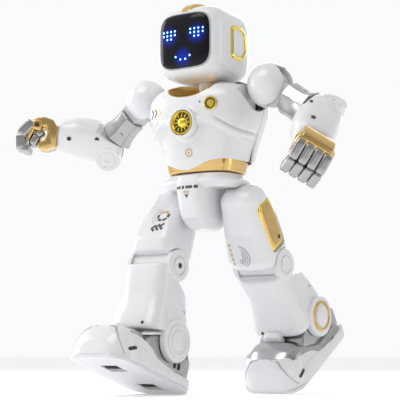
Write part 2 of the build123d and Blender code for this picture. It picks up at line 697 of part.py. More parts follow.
def nodes():
    """Every node's solids in the straight pose."""
    wall = torso_wall()
    skull = head_wall()
    made = {
        "pelvis_shell": pelvis_shell(), "hip_axle": hip_axle(), "chest_shell": chest_shell(wall),
        "abdomen_shell": abdomen_shell(wall), "back_shell": back_shell(wall),
        "battery_cover": battery_cover(wall), "waist_belt": waist_belt(), "collar_trim": collar_trim(),
        "battery_pack": battery_pack(), "main_board": main_board(), "speaker": speaker(),
        "shoulder_drives": shoulder_drives(), "torso_screws": torso_screws(wall), "chest_lamp": chest_lamp(),
        "chest_button": chest_button(), "power_switch": power_switch(),
        "head_front_shell": head_front_shell(skull), "head_rear_shell": head_rear_shell(skull),
        "visor_lens": visor_lens(), "led_board": led_board(), "head_crest": head_crest(),
        "ear_trims": ear_trims(), "neck_shaft": neck_shaft(),
    }
    limb = {
        "shoulder_housing": shoulder_housing(), "arm_lug": arm_lug(), "upper_arm_sleeve": upper_arm_sleeve(),
        "forearm_shell": forearm_shell(), "elbow_pin": elbow_pin(), "hand_palm": hand_palm(),
        "hand_fingers": hand_fingers(), "thigh_shell": thigh_shell(), "thigh_trim": thigh_trim(),
        "shank_shell": shank_shell(), "knee_pin": knee_pin(), "ankle_pin": ankle_pin(),
        "foot_shell": foot_shell(), "foot_insert": foot_insert(), "sole_plate": sole_plate(),
        "foot_motor": foot_motor(), "front_wheel": wheel("front"), "rear_wheel": wheel("rear"),
    }
    for name, part in limb.items():
        made[name + "_left"] = part
        made[name + "_right"] = mirrored(part)
    return made


def posed():
    """Every node in the walking pose, standing on z = 0 with the box's middle over the origin."""
    place = pose_of()
    body_of = {n: b for b, ns in BODIES.items() for n in ns}
    moved = {n: place[body_of[n]] * part for n, part in nodes().items()}
    box = Compound(list(moved.values())).bounding_box()
    centre = Location((-(box.min.X + box.max.X) / 2, -(box.min.Y + box.max.Y) / 2, -box.min.Z))
    return {n: centre * part for n, part in moved.items()}, centre


def main():
    os.makedirs("parts", exist_ok=True)
    made, centre = posed()
    for name, part in made.items():
        export_step(part, f"parts/{name}.step")
    return made, centre


if __name__ == "__main__":
    main()
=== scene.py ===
"""Looks of the walking humanoid robot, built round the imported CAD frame.

Pieces are drawn in millimetres in the robot's straight standing pose (hip axis at the origin, +X its left,
-Y its front), then carried to the stored walking pose by the frame's own joints.
"""

import json
import math

import bmesh
import bpy
import numpy as np
from mathutils import Matrix, Vector
from mathutils.bvhtree import BVHTree

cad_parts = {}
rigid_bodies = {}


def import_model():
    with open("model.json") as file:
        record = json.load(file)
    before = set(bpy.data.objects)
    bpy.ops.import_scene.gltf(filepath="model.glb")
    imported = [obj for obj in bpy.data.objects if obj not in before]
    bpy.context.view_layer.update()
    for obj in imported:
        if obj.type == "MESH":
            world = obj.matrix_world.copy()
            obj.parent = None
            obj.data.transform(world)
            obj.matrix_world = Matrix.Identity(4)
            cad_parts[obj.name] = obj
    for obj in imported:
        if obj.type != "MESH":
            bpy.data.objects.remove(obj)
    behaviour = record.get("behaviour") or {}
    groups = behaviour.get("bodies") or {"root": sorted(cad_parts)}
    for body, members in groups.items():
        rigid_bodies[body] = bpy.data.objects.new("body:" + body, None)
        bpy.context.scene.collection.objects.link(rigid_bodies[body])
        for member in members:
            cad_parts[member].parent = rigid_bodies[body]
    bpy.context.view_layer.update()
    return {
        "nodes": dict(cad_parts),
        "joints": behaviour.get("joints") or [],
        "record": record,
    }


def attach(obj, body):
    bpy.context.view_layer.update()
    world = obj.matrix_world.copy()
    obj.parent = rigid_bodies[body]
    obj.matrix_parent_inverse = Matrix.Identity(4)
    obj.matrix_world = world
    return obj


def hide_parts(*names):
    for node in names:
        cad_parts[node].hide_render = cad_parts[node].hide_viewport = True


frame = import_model()
JOINTS = {j["name"]: j for j in frame["joints"]}
MM = 0.001

# ---------- driving dimensions, as in the CAD
LEG_X, THIGH_LEN, SHANK_LEN, ANKLE_HEIGHT = 38.0, 70.0, 74.5, 41.5
SHOULDER = Vector((73.0, -4.0, 114.0))
UPPER_LEN, ELBOW_Y, FOREARM_LEN = 71.0, 6.0, 57.0
ELBOW = SHOULDER + Vector((0, ELBOW_Y, -UPPER_LEN))
WRIST = ELBOW + Vector((0, -8, -FOREARM_LEN))
KNEE = Vector((LEG_X, 0, -THIGH_LEN))
ANKLE = Vector((LEG_X, 0, -THIGH_LEN - SHANK_LEN))
HEAD_C = Vector((0.0, -10.0, 160.0))
HEAD_HALF = Vector((38.0, 38.0, 37.0))
HEAD_POWER = 4.2
EYE_X = 16.0
BUTTON_Z = 77.5
SOLE_Z = -ANKLE_HEIGHT + 3.0

# joint angles of the stored pose, from the straight pose, where not 0; the frame gives axes and places
POSE = {
    "waist_turn": 3.0,
    "raise_left": 55.0, "twist_left": -21.0, "elbow_left": 56.0, "wrist_left": -14.0,
    "raise_right": 50.0, "twist_right": 50.0, "elbow_right": 59.0, "wrist_right": 62.0,
    "hip_left": -34.0, "knee_left": 14.0, "ankle_left": 15.5,
    "hip_right": 30.0, "knee_right": 21.0, "ankle_right": 9.0,
}
SIDES = (("left", 1), ("right", -1))


def body_matrices():
    """Straight pose in millimetres to the row frame in metres, for each body."""
    hips = (Vector(JOINTS["hip_left"]["pos_m"]) + Vector(JOINTS["hip_right"]["pos_m"])) / 2
    made = {"pelvis": Matrix.Translation(hips) @ Matrix.Scale(MM, 4)}
    for joint in frame["joints"]:
        turn = Matrix.Identity(4)
        if joint["type"] == "hinge":
            spot = Vector(joint["pos_m"])
            angle = math.radians(POSE.get(joint["name"], 0.0))
            spin = Matrix.Rotation(angle, 4, Vector(joint["axis"]))
            turn = Matrix.Translation(spot) @ spin @ Matrix.Translation(-spot)
        made[joint["child"]] = turn @ made[joint["parent"]]
    return made


PLACE = body_matrices()


# ---------- camera, light and floor
# degrees round the toy and degrees looking up, then metres
CAM_TURN, CAM_LOOK_UP, CAM_DISTANCE = 36.0, 6.9, 1.282
CAM_SIDE, CAM_TARGET_Z = -0.0096, 0.0066
CAM_LENS = 115.4


def place_object(name, data, place, direction):
    """A camera or lamp at a place, looking along a direction."""
    obj = bpy.data.objects.new(name, data)
    obj.location = place
    obj.rotation_mode = "QUATERNION"
    obj.rotation_quaternion = direction.to_track_quat("-Z", "Y")
    bpy.context.scene.collection.objects.link(obj)
    return obj


def make_camera():
    a, e = math.radians(CAM_TURN), math.radians(-CAM_LOOK_UP)
    back = Vector((math.sin(a) * math.cos(e), -math.cos(a) * math.cos(e), math.sin(e)))
    right = Vector((math.cos(a), math.sin(a), 0))
    target = PLACE["pelvis"].translation + right * CAM_SIDE + Vector((0, 0, CAM_TARGET_Z))
    data = bpy.data.cameras.new("camera")
    data.sensor_width = 36.0
    data.lens = CAM_LENS
    data.clip_start = 0.01
    bpy.context.scene.camera = place_object("camera", data, target + back * CAM_DISTANCE, -back)


def area_light(name, place, size, power):
    lamp = bpy.data.lights.new(name, "AREA")
    lamp.shape = "RECTANGLE"
    lamp.size, lamp.size_y = size
    lamp.energy = power
    place_object(name, lamp, place, Vector((0, 0, 0.2)) - Vector(place))


def make_lamps():
    area_light("key_side", (-1.5, -0.45, 0.75), (0.8, 1.1), 9.5)
    area_light("key_top", (-0.2, -0.8, 1.4), (0.8, 0.8), 5)
    area_light("edge_right", (1.3, 0.5, 0.5), (0.3, 1.2), 1.5)
    area_light("back", (-0.4, 1.3, 0.9), (0.9, 0.9), 3)


def set_sockets(node, values):
    for socket, value in values.items():
        node.inputs[socket].default_value = value


def add_node(tree, kind, sockets=None, **settings):
    """A new shader node: settings are its own properties, sockets the values of its inputs."""
    node = tree.nodes.new(kind)
    for key, value in settings.items():
        setattr(node, key, value)
    set_sockets(node, sockets or {})
    return node


def new_material(name, colour, rough, metal=0.0, coat=0.0):
    mat = bpy.data.materials.new(name)
    mat.use_nodes = True
    shader = mat.node_tree.nodes["Principled BSDF"]
    set_sockets(shader, {"Base Color": (*colour, 1), "Roughness": rough, "Metallic": metal,
                         "Coat Weight": coat, "Coat Roughness": 0.08})
    return mat, mat.node_tree, shader


def make_floor():
    half = 20.0
    corners = [(-half, -half, 0), (half, -half, 0), (half, half, 0), (-half, half, 0)]
    mesh = bpy.data.meshes.new("floor")
    mesh.from_pydata(corners, [], [(0, 1, 2, 3)])
    floor = bpy.data.objects.new("floor", mesh)
    bpy.context.scene.collection.objects.link(floor)
    mat, _, shader = new_material("floor_paint", (0.95, 0.95, 0.955), 0.8)
    set_sockets(shader, {"Emission Color": (1, 1, 1, 1), "Emission Strength": 0.2})
    mesh.materials.append(mat)


def make_room():
    """White surroundings, brightest at the toy's right and back, dimmer towards its left."""
    world = bpy.data.worlds.new("studio")
    world.use_nodes = True
    tree = world.node_tree
    sky = tree.nodes["Background"]
    sky.inputs["Color"].default_value = (0.985, 0.99, 1.0, 1)
    coord = add_node(tree, "ShaderNodeTexCoord")
    along = add_node(tree, "ShaderNodeVectorMath", {1: (-0.89, 0.456, 0.0)}, operation="DOT_PRODUCT")
    level = add_node(tree, "ShaderNodeMapRange",
                     {"From Min": -0.9, "From Max": 0.7, "To Min": 0.38, "To Max": 0.97})
    tree.links.new(coord.outputs["Generated"], along.inputs[0])
    tree.links.new(along.outputs["Value"], level.inputs["Value"])
    tree.links.new(level.outputs["Result"], sky.inputs["Strength"])
    bpy.context.scene.world = world
    bpy.context.scene.view_settings.view_transform = "Standard"


# ---------- materials
def grain(tree, scale):
    """A noise in the object's own coordinates."""
    coord = add_node(tree, "ShaderNodeTexCoord")
    noise = add_node(tree, "ShaderNodeTexNoise", {"Scale": scale, "Detail": 4.0})
    tree.links.new(coord.outputs["Object"], noise.inputs["Vector"])
    return noise.outputs["Fac"]


def ramp(tree, source, low, high):
    """Two colours or greys across the middle of a noise."""
    node = tree.nodes.new("ShaderNodeValToRGB")
    for element, position, colour in zip(node.color_ramp.elements, (0.3, 0.7), (low, high)):
        element.position = position
        element.color = (*colour, 1)
    tree.links.new(source, node.inputs["Fac"])
    return node.outputs["Color"]


def bump(tree, shader, source, strength, distance):
    node = add_node(tree, "ShaderNodeBump", {"Strength": strength, "Distance": distance})
    tree.links.new(source, node.inputs["Height"])
    tree.links.new(node.outputs["Normal"], shader.inputs["Normal"])


def finish_material(name, colour, rough, metal=0.0, coat=0.0, scale=60.0, vary=0.04, relief=0.02):
    """A finish whose colour, gloss and surface vary slightly, as moulded or plated plastic does."""
    mat, tree, shader = new_material(name, colour, rough, metal, coat)
    noise = grain(tree, scale)
    low = tuple(c * (1 - vary) for c in colour)
    high = tuple(min(1.0, c * (1 + vary)) for c in colour)
    tree.links.new(ramp(tree, noise, low, high), shader.inputs["Base Color"])
    tree.links.new(ramp(tree, noise, (rough * 0.85,) * 3, (rough * 1.2,) * 3), shader.inputs["Roughness"])
    bump(tree, shader, noise, relief, 0.0002)
    return mat


def visor_material():
    """Black gloss with a soft blue glow round the lit dots."""
    mat, tree, shader = new_material("visor_gloss", (0.004, 0.004, 0.006), 0.05)
    shader.inputs["Specular IOR Level"].default_value = 0.22
    noise = grain(tree, 12.0)
    black = ramp(tree, noise, (0.003, 0.003, 0.005), (0.009, 0.009, 0.012))
    tree.links.new(black, shader.inputs["Base Color"])
    coord = add_node(tree, "ShaderNodeTexCoord")
    total = None
    for x, z, reach in ((-EYE_X, 5, 14.0), (EYE_X, 5, 14.0), (0, -17, 13.0)):
        spot = PLACE["head"] @ Vector((x, HEAD_C.y - HEAD_HALF.y, HEAD_C.z + z))
        gap = add_node(tree, "ShaderNodeVectorMath", {1: spot}, operation="DISTANCE")
        fade = add_node(tree, "ShaderNodeMapRange",
                        {"From Min": 0.0, "From Max": reach * MM, "To Min": 0.55, "To Max": 0.0},
                        interpolation_type="SMOOTHERSTEP")
        tree.links.new(coord.outputs["Object"], gap.inputs[0])
        tree.links.new(gap.outputs["Value"], fade.inputs["Value"])
        add = add_node(tree, "ShaderNodeMath", {0: 0.0}, operation="ADD")
        if total:
            tree.links.new(total, add.inputs[0])
        tree.links.new(fade.outputs["Result"], add.inputs[1])
        total = add.outputs["Value"]
    shader.inputs["Emission Color"].default_value = (0.0, 0.03, 0.75, 1)
    tree.links.new(total, shader.inputs["Emission Strength"])
    return mat


def led_material():
    mat, tree, shader = new_material("led_blue", (0.2, 0.5, 1.0), 0.3)
    noise = grain(tree, 300.0)
    tree.links.new(ramp(tree, noise, (0.25, 0.62, 1.0), (0.35, 0.72, 1.0)), shader.inputs["Emission Color"])
    shader.inputs["Emission Strength"].default_value = 2.2
    return mat


make_camera()
make_floor()
make_room()
make_lamps()
WHITE = finish_material("white_gloss", (0.80, 0.805, 0.82), 0.22, coat=0.5, scale=90.0, vary=0.012,
                        relief=0.012)
GOLD = finish_material("gold_plate", (0.72, 0.49, 0.19), 0.16, metal=1.0, vary=0.05, relief=0.01)
BRIGHT_GOLD = finish_material("gold_bright", (0.88, 0.68, 0.10), 0.1, metal=1.0, vary=0.05, relief=0.01)
SILVER = finish_material("silver_plate", (0.46, 0.46, 0.47), 0.24, metal=1.0, scale=40.0, vary=0.05,
                         relief=0.008)
# dark plastic on the elbow tongues, wrist collars and other dark parts; on the screw holes and the shoe's
# side slots the same dark is painted shade
DARK = finish_material("dark_plastic", (0.03, 0.03, 0.032), 0.45, scale=200.0, vary=0.2, relief=0.1)
RUBBER = finish_material("rubber", (0.018, 0.018, 0.018), 0.7, scale=300.0, vary=0.25, relief=0.2)
STEEL = finish_material("steel", (0.55, 0.55, 0.56), 0.3, metal=1.0, scale=150.0, vary=0.08)
GREY = finish_material("grey_line", (0.42, 0.43, 0.45), 0.5, scale=200.0, vary=0.05)
SOLE = finish_material("sole_white", (0.78, 0.78, 0.80), 0.42, scale=250.0, vary=0.03, relief=0.05)
# dark print on the marks; the same dark is painted shade in the lamp's groove, the button's well, the knuckle
# grooves and the mic hole
DARK_PRINT_AND_SHADE = finish_material("dark_print_and_shade", (0.09, 0.08, 0.075), 0.4, scale=300.0, vary=0.1)
PRINT_GOLD = finish_material("print_gold", (0.62, 0.42, 0.16), 0.35, metal=0.5, scale=300.0, vary=0.1)
PALE = finish_material("pale_plastic", (0.60, 0.60, 0.62), 0.32, coat=0.3, scale=90.0, vary=0.03)
VISOR = visor_material()
LED = led_material()
SLOT_LOOKS = {
    "white_shell": WHITE, "gold_plated": GOLD, "silver_plated": SILVER, "black_visor": VISOR,
    "wheel_rubber": RUBBER, "steel": STEEL, "screw_steel": STEEL, "battery_case": STEEL,
    "dark_plastic": DARK, "sole_grey": SOLE,
}
NODE_LOOKS = {"arm_lug_left": PALE, "arm_lug_right": PALE, "neck_shaft": WHITE}


# ---------- mesh helpers
def smooth(obj, angle=35.0):
    """Smooth shading that keeps real edges."""
    for face in obj.data.polygons:
        face.use_smooth = True
    keep = obj.modifiers.new("edges", "EDGE_SPLIT")
    keep.split_angle = math.radians(angle)


def soften(obj, width, segments, angle):
    """Rounds a piece's sharp edges, width in millimetres, and shades it smooth."""
    edge = obj.modifiers.new("bevel", "BEVEL")
    edge.width = width * MM
    edge.segments = segments
    edge.limit_method = "ANGLE"
    smooth(obj, angle)


def dress_cad():
    """Every CAD node that stays gets its finish and smooth faces."""
    slots = {part["node"]: part["material_slot"] for part in frame["record"]["subparts"]}
    for name, obj in frame["nodes"].items():
        obj.data.materials.clear()
        obj.data.materials.append(NODE_LOOKS.get(name, SLOT_LOOKS[slots[name]]))
        smooth(obj)


def make(name, verts, faces, body, material, side=1, soft=True, angle=40.0):
    """A mesh object from straight-pose points; side -1 mirrors it to the robot's right."""
    place = PLACE[body]
    points = [place @ Vector((v[0] * side, v[1], v[2])) for v in verts]
    if side < 0:
        faces = [tuple(reversed(f)) for f in faces]
    mesh = bpy.data.meshes.new(name)
    mesh.from_pydata(points, [], faces)
    tidy = bmesh.new()
    tidy.from_mesh(mesh)
    bmesh.ops.remove_doubles(tidy, verts=tidy.verts, dist=1e-6)
    bmesh.ops.recalc_face_normals(tidy, faces=tidy.faces)
    tidy.to_mesh(mesh)
    tidy.free()
    mesh.materials.append(material)
    obj = bpy.data.objects.new(name, mesh)
    bpy.context.scene.collection.objects.link(obj)
    if soft:
        smooth(obj, angle)
    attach(obj, body)
    return obj


def join_shapes(shapes):
    """Several (verts, faces) as one."""
    verts, faces = [], []
    for part_verts, part_faces in shapes:
        base = len(verts)
        verts += list(part_verts)
        faces += [tuple(i + base for i in f) for f in part_faces]
    return verts, faces


def grid_faces(rows, cols, wrap):
    faces = []
    for i in range(rows - 1):
        for j in range(cols if wrap else cols - 1):
            k = (j + 1) % cols
            faces.append((i * cols + j, i * cols + k, (i + 1) * cols + k, (i + 1) * cols + j))
    return faces


def spline(values, t):
    """Catmull-Rom through a list of number tuples, t from 0 to 1."""
    last = len(values) - 1
    x = min(max(t, 0.0), 1.0) * last
    i = min(int(x), last - 1)
    f = x - i
    p0, p1, p2, p3 = (values[min(max(k, 0), last)] for k in (i - 1, i, i + 1, i + 2))
    out = []
    for a, b, c, d in zip(p0, p1, p2, p3):
        out.append(0.5 * (2 * b + (c - a) * f + (2 * a - 5 * b + 4 * c - d) * f ** 2
                          + (3 * b - a - 3 * c + d) * f ** 3))
    return out


def power(value, exponent):
    return math.copysign(abs(value) ** exponent, value)


CAP_STEPS = 6


def ring(section, segs, inset=0.0):
    """Points round one section (z, x centre, half width, front y, back y, squareness)."""
    z, cx, half, front, back, square = section
    half_y = (back - front) / 2
    cy = (back + front) / 2
    points = []
    for j in range(segs):
        a = 2 * math.pi * j / segs
        px = power(math.cos(a), 2 / square)
        py = power(math.sin(a), 2 / square)
        points.append((cx + (half - inset) * px, cy + (half_y - inset) * py, z))
    return points


def loft(sections, rows=40, segs=64, caps=(4.0, 4.0), shape=None):
    """A closed skin through sections from bottom to top, with its ends rounded to the cap radii."""
    low, high = sections[0][0], sections[-1][0]
    turns = [math.pi / 2 * i / CAP_STEPS for i in range(CAP_STEPS + 1)]
    rings = [(low + caps[0] * (1 - math.cos(a)), caps[0] * (1 - math.sin(a))) for a in turns]
    straight = high - low - caps[0] - caps[1]
    rings += [(low + caps[0] + straight * i / rows, 0.0) for i in range(1, rows)]
    rings += [(high - caps[1] * (1 - math.sin(a)), caps[1] * (1 - math.cos(a))) for a in turns]
    heights = [s[0] for s in sections]
    shares = np.linspace(0.0, 1.0, len(sections))
    verts = []
    for z, inset in rings:
        section = spline(sections, float(np.interp(z, heights, shares)))
        section[0] = z
        verts += ring(section, segs, inset)
    if shape:
        verts = [shape(v) for v in verts]
    last = (len(rings) - 1) * segs
    ends = [tuple(reversed(range(segs))), tuple(range(last, last + segs))]
    return verts, grid_faces(len(rings), segs, True) + ends


def lathe(profile, centre, axis="x", flip=1, segs=56, hollow=False):
    """A turned piece: profile is (height, radius) pairs along the axis; hollow joins its ends."""
    verts = []
    for height, radius in profile:
        for j in range(segs):
            a = 2 * math.pi * j / segs
            u, v = radius * math.cos(a), radius * math.sin(a)
            h = height * flip
            local = {"x": (h, u, v), "y": (u, h, v), "z": (u, v, h)}[axis]
            verts.append(tuple(centre[k] + local[k] for k in range(3)))
    last = (len(profile) - 1) * segs
    ends = [tuple(range(segs)), tuple(range(last, last + segs))]
    if hollow:
        ends = [(last + j, last + (j + 1) % segs, (j + 1) % segs, j) for j in range(segs)]
    return verts, grid_faces(len(profile), segs, True) + ends


def rod(low, high, radius, centre, axis="x", flip=1, segs=56):
    """A plain round bar along an axis, between two distances from the centre."""
    return lathe([(low, radius), (high, radius)], centre, axis, flip, segs)


def rounded_box(centre, size, square=5.0, cuts=12, turn=None):
    """A box with soft edges, as a superellipsoid."""
    verts, faces = [], []
    for axis in range(3):
        for sign in (-1, 1):
            base = len(verts)
            for i in range(cuts + 1):
                for j in range(cuts + 1):
                    p = [0.0, 0.0, 0.0]
                    p[axis] = sign
                    p[(axis + 1) % 3] = math.tan(math.pi / 4 * (2 * i / cuts - 1))
                    p[(axis + 2) % 3] = math.tan(math.pi / 4 * (2 * j / cuts - 1))
                    length = sum(abs(c) ** square for c in p) ** (1 / square)
                    v = Vector([p[k] / length * size[k] / 2 for k in range(3)])
                    if turn:
                        v = turn @ v
                    verts.append(tuple(v + Vector(centre)))
            faces += [tuple(base + k for k in f) for f in grid_faces(cuts + 1, cuts + 1, False)]
    return verts, faces


def bone(start, end, width, depth, square=4.0):
    """A rounded box that runs from one point to another in the XZ plane."""
    a, b = Vector(start), Vector(end)
    axis = (b - a).normalized()
    turn = Vector((0, 0, 1)).rotation_difference(axis).to_matrix()
    return rounded_box((a + b) / 2, (depth, width, (b - a).length), square, 10, turn)


def cut(obj, verts, faces, body, side=1, operation="DIFFERENCE"):
    """Takes a shape out of a piece, or adds it, and keeps the result as its mesh."""
    tool = make("tool", verts, faces, body, obj.data.materials[0], side, soft=False)
    boolean = obj.modifiers.new("cut", "BOOLEAN")
    boolean.operation = operation
    boolean.solver = "EXACT"
    boolean.object = tool
    obj.modifiers.move(len(obj.modifiers) - 1, 0)
    for modifier in obj.modifiers:
        modifier.show_viewport = modifier == boolean
    bpy.context.view_layer.update()
    result = bpy.data.meshes.new_from_object(obj.evaluated_get(bpy.context.evaluated_depsgraph_get()))
    obj.modifiers.remove(boolean)
    result.name = obj.data.name
    obj.data = result
    for modifier in obj.modifiers:
        modifier.show_viewport = True
    bpy.data.objects.remove(tool)


def box_shape(x0, x1, y0, y1, z0, z1):
    verts = [(x, y, z) for z in (z0, z1) for y in (y0, y1) for x in (x0, x1)]
    faces = [(0, 2, 3, 1), (4, 5, 7, 6), (0, 1, 5, 4), (2, 6, 7, 3), (0, 4, 6, 2), (1, 3, 7, 5)]
    return verts, faces


def prism(outline, low, high, axis="x", origin=(0, 0, 0)):
    """A straight bar along x from a (y, z) outline, or along y from an (x, z) outline."""
    verts, count = [], len(outline)
    for depth in (low, high):
        for a, b in outline:
            local = (depth, a, b) if axis == "x" else (a, depth, b)
            verts.append(tuple(origin[k] + local[k] for k in range(3)))
    faces = [tuple(range(count)), tuple(reversed(range(count, 2 * count)))]
    faces += [(i, (i + 1) % count, count + (i + 1) % count, count + i) for i in range(count)]
    return verts, faces


def turned(shape, centre, angle, axis):
    """The same shape turned about a line through the centre."""
    spin, centre = Matrix.Rotation(math.radians(angle), 3, axis), Vector(centre)
    return [tuple(spin @ (Vector(v) - centre) + centre) for v in shape[0]], shape[1]


# ---------- printed marks, and painted shade laid on in the same way
def stroke(points, width):
    """A flat band along (u, v) points, in pieces of about 1 mm that can follow a curved face."""
    path = [Vector(p) for p in points]
    fine = [path[0]]
    for a, b in zip(path, path[1:]):
        count = max(1, int((b - a).length))
        fine += [a.lerp(b, i / count) for i in range(1, count + 1)]
    verts = []
    for i, p in enumerate(fine):
        ahead = fine[min(i + 1, len(fine) - 1)]
        behind = fine[max(i - 1, 0)]
        run = (ahead - behind).normalized()
        across = Vector((-run.y, run.x)) * width / 2
        verts += [tuple(p - across), tuple(p + across)]
    faces = [(2 * i, 2 * i + 1, 2 * i + 3, 2 * i + 2) for i in range(len(fine) - 1)]
    return verts, faces


def arc(cx, cy, radius, start, end, count=18):
    angles = [math.radians(start + (end - start) * i / count) for i in range(count + 1)]
    return [(cx + radius * math.cos(a), cy + radius * math.sin(a)) for a in angles]


def disc2d(cx, cy, radius, count=20):
    rim = arc(cx, cy, radius, 0, 360, count)[:-1]
    return [(cx, cy)] + rim, [(0, 1 + i, 1 + (i + 1) % count) for i in range(count)]


# where prints on the robot's front are measured from: origin, across, up
FRONT = ((0, -60, 0), (1, 0, 0), (0, 0, 1))


def printed(name, shapes, origin, across, up, target, body, material, side=1, lift=0.12, reach=30.0):
    """Lays flat shapes on a piece: (u, v) is measured from the origin along across and up."""
    verts, faces = join_shapes(shapes)
    bpy.context.view_layer.update()
    tree = BVHTree.FromObject(target, bpy.context.evaluated_depsgraph_get())
    place = PLACE[body]
    inverse = place.inverted()
    to_target = target.matrix_world.inverted()
    across, up = Vector(across), Vector(up)
    out = across.cross(up).normalized()
    if side < 0:
        across, up, out = (Vector((-v.x, v.y, v.z)) for v in (across, up, out))
        origin = Vector((-origin[0], origin[1], origin[2]))
    laid = []
    for u, v in verts:
        p = Vector(origin) + across * u + up * v
        start = to_target @ (place @ (p + out * reach))
        aim = to_target.to_3x3() @ (place.to_3x3() @ -out)
        hit, normal, _, _ = tree.ray_cast(start, aim.normalized())
        if hit is None:
            laid.append(tuple(p))
            continue
        laid.append(tuple(inverse @ (target.matrix_world @ (hit + normal * lift * MM))))
    return make(name, laid, faces, body, material)


def screw_hole(centre, axis, flip, radius=1.7):
    """A counterbored hole drawn as a shallow cup that stands just proud of its face; its dark colour is
    painted shade in place of the hole's depth.
    """
    profile = [(0.0, 0.01), (0.0, radius), (0.14, radius), (0.14, radius + 0.35), (-0.6, radius + 0.35)]
    return lathe(profile, centre, axis, flip, 24)


def side_holes(centre, offset, radius=1.7):
    """The same hole on the left and right faces of a part, offset from its centre."""
    x, y, z = centre
    return join_shapes([screw_hole((x + flip * offset, y, z), "x", flip, radius) for flip in (1, -1)])


def side_discs(profile, centre, offset):
    """The same turned piece on the left and right faces of a part, offset from its centre."""
    x, y, z = centre
    return join_shapes([lathe(profile, (x + flip * offset, y, z), "x", flip) for flip in (1, -1)])


dress_cad()


# ---------- head
EAR_Y = 4.0


def head_share(u, v):
    """How far out the head's skin lies along one axis, all three in shares of the half sizes."""
    return max(1 - abs(u) ** HEAD_POWER - abs(v) ** HEAD_POWER, 0.0) ** (1 / HEAD_POWER)


def head_surface(x, z):
    """How far in front of the head's centre its skin lies, at x and z from the centre."""
    return HEAD_HALF.y * head_share(x / HEAD_HALF.x, z / HEAD_HALF.z)


def side_surface(y, z):
    """How far beside the head's centre its skin lies, at y and z from the centre."""
    return HEAD_HALF.x * head_share(y / HEAD_HALF.y, z / HEAD_HALF.z)


def visor_shape(grow, lift, edge):
    """A rounded-square patch that follows the head's face, its rim turned in."""
    half_w, half_h, square = 30.5 + grow, 28.5 + grow, 4.4
    rings, segs, rim_start = 14, 96, 0.93
    verts = []
    for i in range(rings + 1):
        k = i / rings
        for j in range(segs):
            a = 2 * math.pi * j / segs
            x = half_w * k * power(math.cos(a), 2 / square)
            z = half_h * k * power(math.sin(a), 2 / square)
            drop = edge * max(0.0, (k - rim_start) / (1 - rim_start)) ** 2
            verts.append((x, HEAD_C.y - head_surface(x, z) - lift + drop, HEAD_C.z + z))
    return verts, grid_faces(rings + 1, segs, True)


def ear_outline(grow):
    """The ear ring in (y, z) from the head's centre: upright front, sloped top, cut lower rear."""
    corners = [(-12, -15, 4), (6, -15, 4), (14, -5, 5), (12, 11, 5), (4, 15, 4), (-12, 15, 4)]
    points = []
    for i, (y, z, r) in enumerate(corners):
        here = Vector((y, z))
        before = (Vector(corners[i - 1][:2]) - here).normalized()
        after = (Vector(corners[(i + 1) % len(corners)][:2]) - here).normalized()
        for k in range(7):
            t = k / 6
            a, b = here + before * r, here + after * r
            p = a * (1 - t) ** 2 + here * 2 * t * (1 - t) + b * t ** 2
            points.append(p + (p - Vector((2, 0))).normalized() * grow)
    return points


def ear_rows(rows):
    """Rings of points over the head's side, from (outline growth, scale, height) rows."""
    verts = []
    for grow, scale, height in rows:
        for p in ear_outline(grow):
            y, z = p.x * scale + EAR_Y, p.y * scale
            verts.append((side_surface(y, z) + height, HEAD_C.y + y, HEAD_C.z + z))
    return verts, grid_faces(len(rows), len(verts) // len(rows), True)


def ear_ring():
    return ear_rows([(-1.8, 1, -1.1), (-1.5, 1, 1.6), (0, 1, 2.2), (1.5, 1, 1.6), (1.8, 1, -1.1)])


def ear_plate():
    verts, faces = ear_rows([(-1.5, scale, 0.5) for scale in (1.0, 0.6, 0.2)])
    inner = len(verts) * 2 // 3
    return verts, faces + [tuple(range(inner, len(verts)))]


def crest():
    """A tapered strip over the top of the head, from above the visor to the crown."""
    front, back = -35.0, 27.0
    cols, count = 9, 26
    verts = []
    for i in range(count + 1):
        t = i / count
        y = front + (back - front) * t
        height = 6.0 * math.sin(math.pi * min(1.0, t * 1.02)) ** 0.55
        half = 5.5 + 4.5 * math.sin(math.pi * t) ** 0.8
        top = HEAD_HALF.z * head_share(0, y / HEAD_HALF.y)
        for j in range(cols):
            u = -1 + 2 * j / (cols - 1)
            lift = height * (1 - abs(u) ** 5) - 0.8
            verts.append((half * power(u, 0.8), HEAD_C.y + y, HEAD_C.z + top + lift))
    return verts, grid_faces(count + 1, cols, False)


def make_head():
    skull = make("head_skin", *rounded_box(HEAD_C, HEAD_HALF * 2, HEAD_POWER, 40), "head", WHITE, angle=60)
    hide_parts("head_front_shell", "head_rear_shell")
    visor = make("visor", *visor_shape(0, 0.9, 1.8), "head", VISOR)
    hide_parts("visor_lens", "led_board")
    make("visor_bezel", *visor_shape(1.3, 0.35, 1.0), "head", GREY)
    pitch_x, pitch_z = 4.6, 3.8
    dots = []
    for side in (-1, 1):
        for col in range(4):
            for row in range(3 if col in (1, 2) else 2):
                dots.append((side * EYE_X + (col - 1.5) * pitch_x, 10.0 - row * pitch_z))
    dots += [(-8.2, -16.0), (-2.9, -19.0), (2.9, -19.0), (8.2, -16.0)]
    shapes = []
    for x, z in dots:
        y = HEAD_C.y - head_surface(x, z) - 0.98
        shapes.append(lathe([(0, 1.05), (0.06, 0.9), (0.08, 0.3)], (x, y, HEAD_C.z + z), "y", -1, 14))
    make("face_dots", *join_shapes(shapes), "head", LED)
    strip = make("crest_strip", *crest(), "head", GOLD)
    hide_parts("head_crest")
    for side, sign in SIDES:
        band = make(f"ear_ring_{side}", *ear_ring(), "head", BRIGHT_GOLD, sign)
        if sign > 0:
            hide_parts("ear_trims")
        make(f"ear_plate_{side}", *ear_plate(), "head", WHITE, sign)


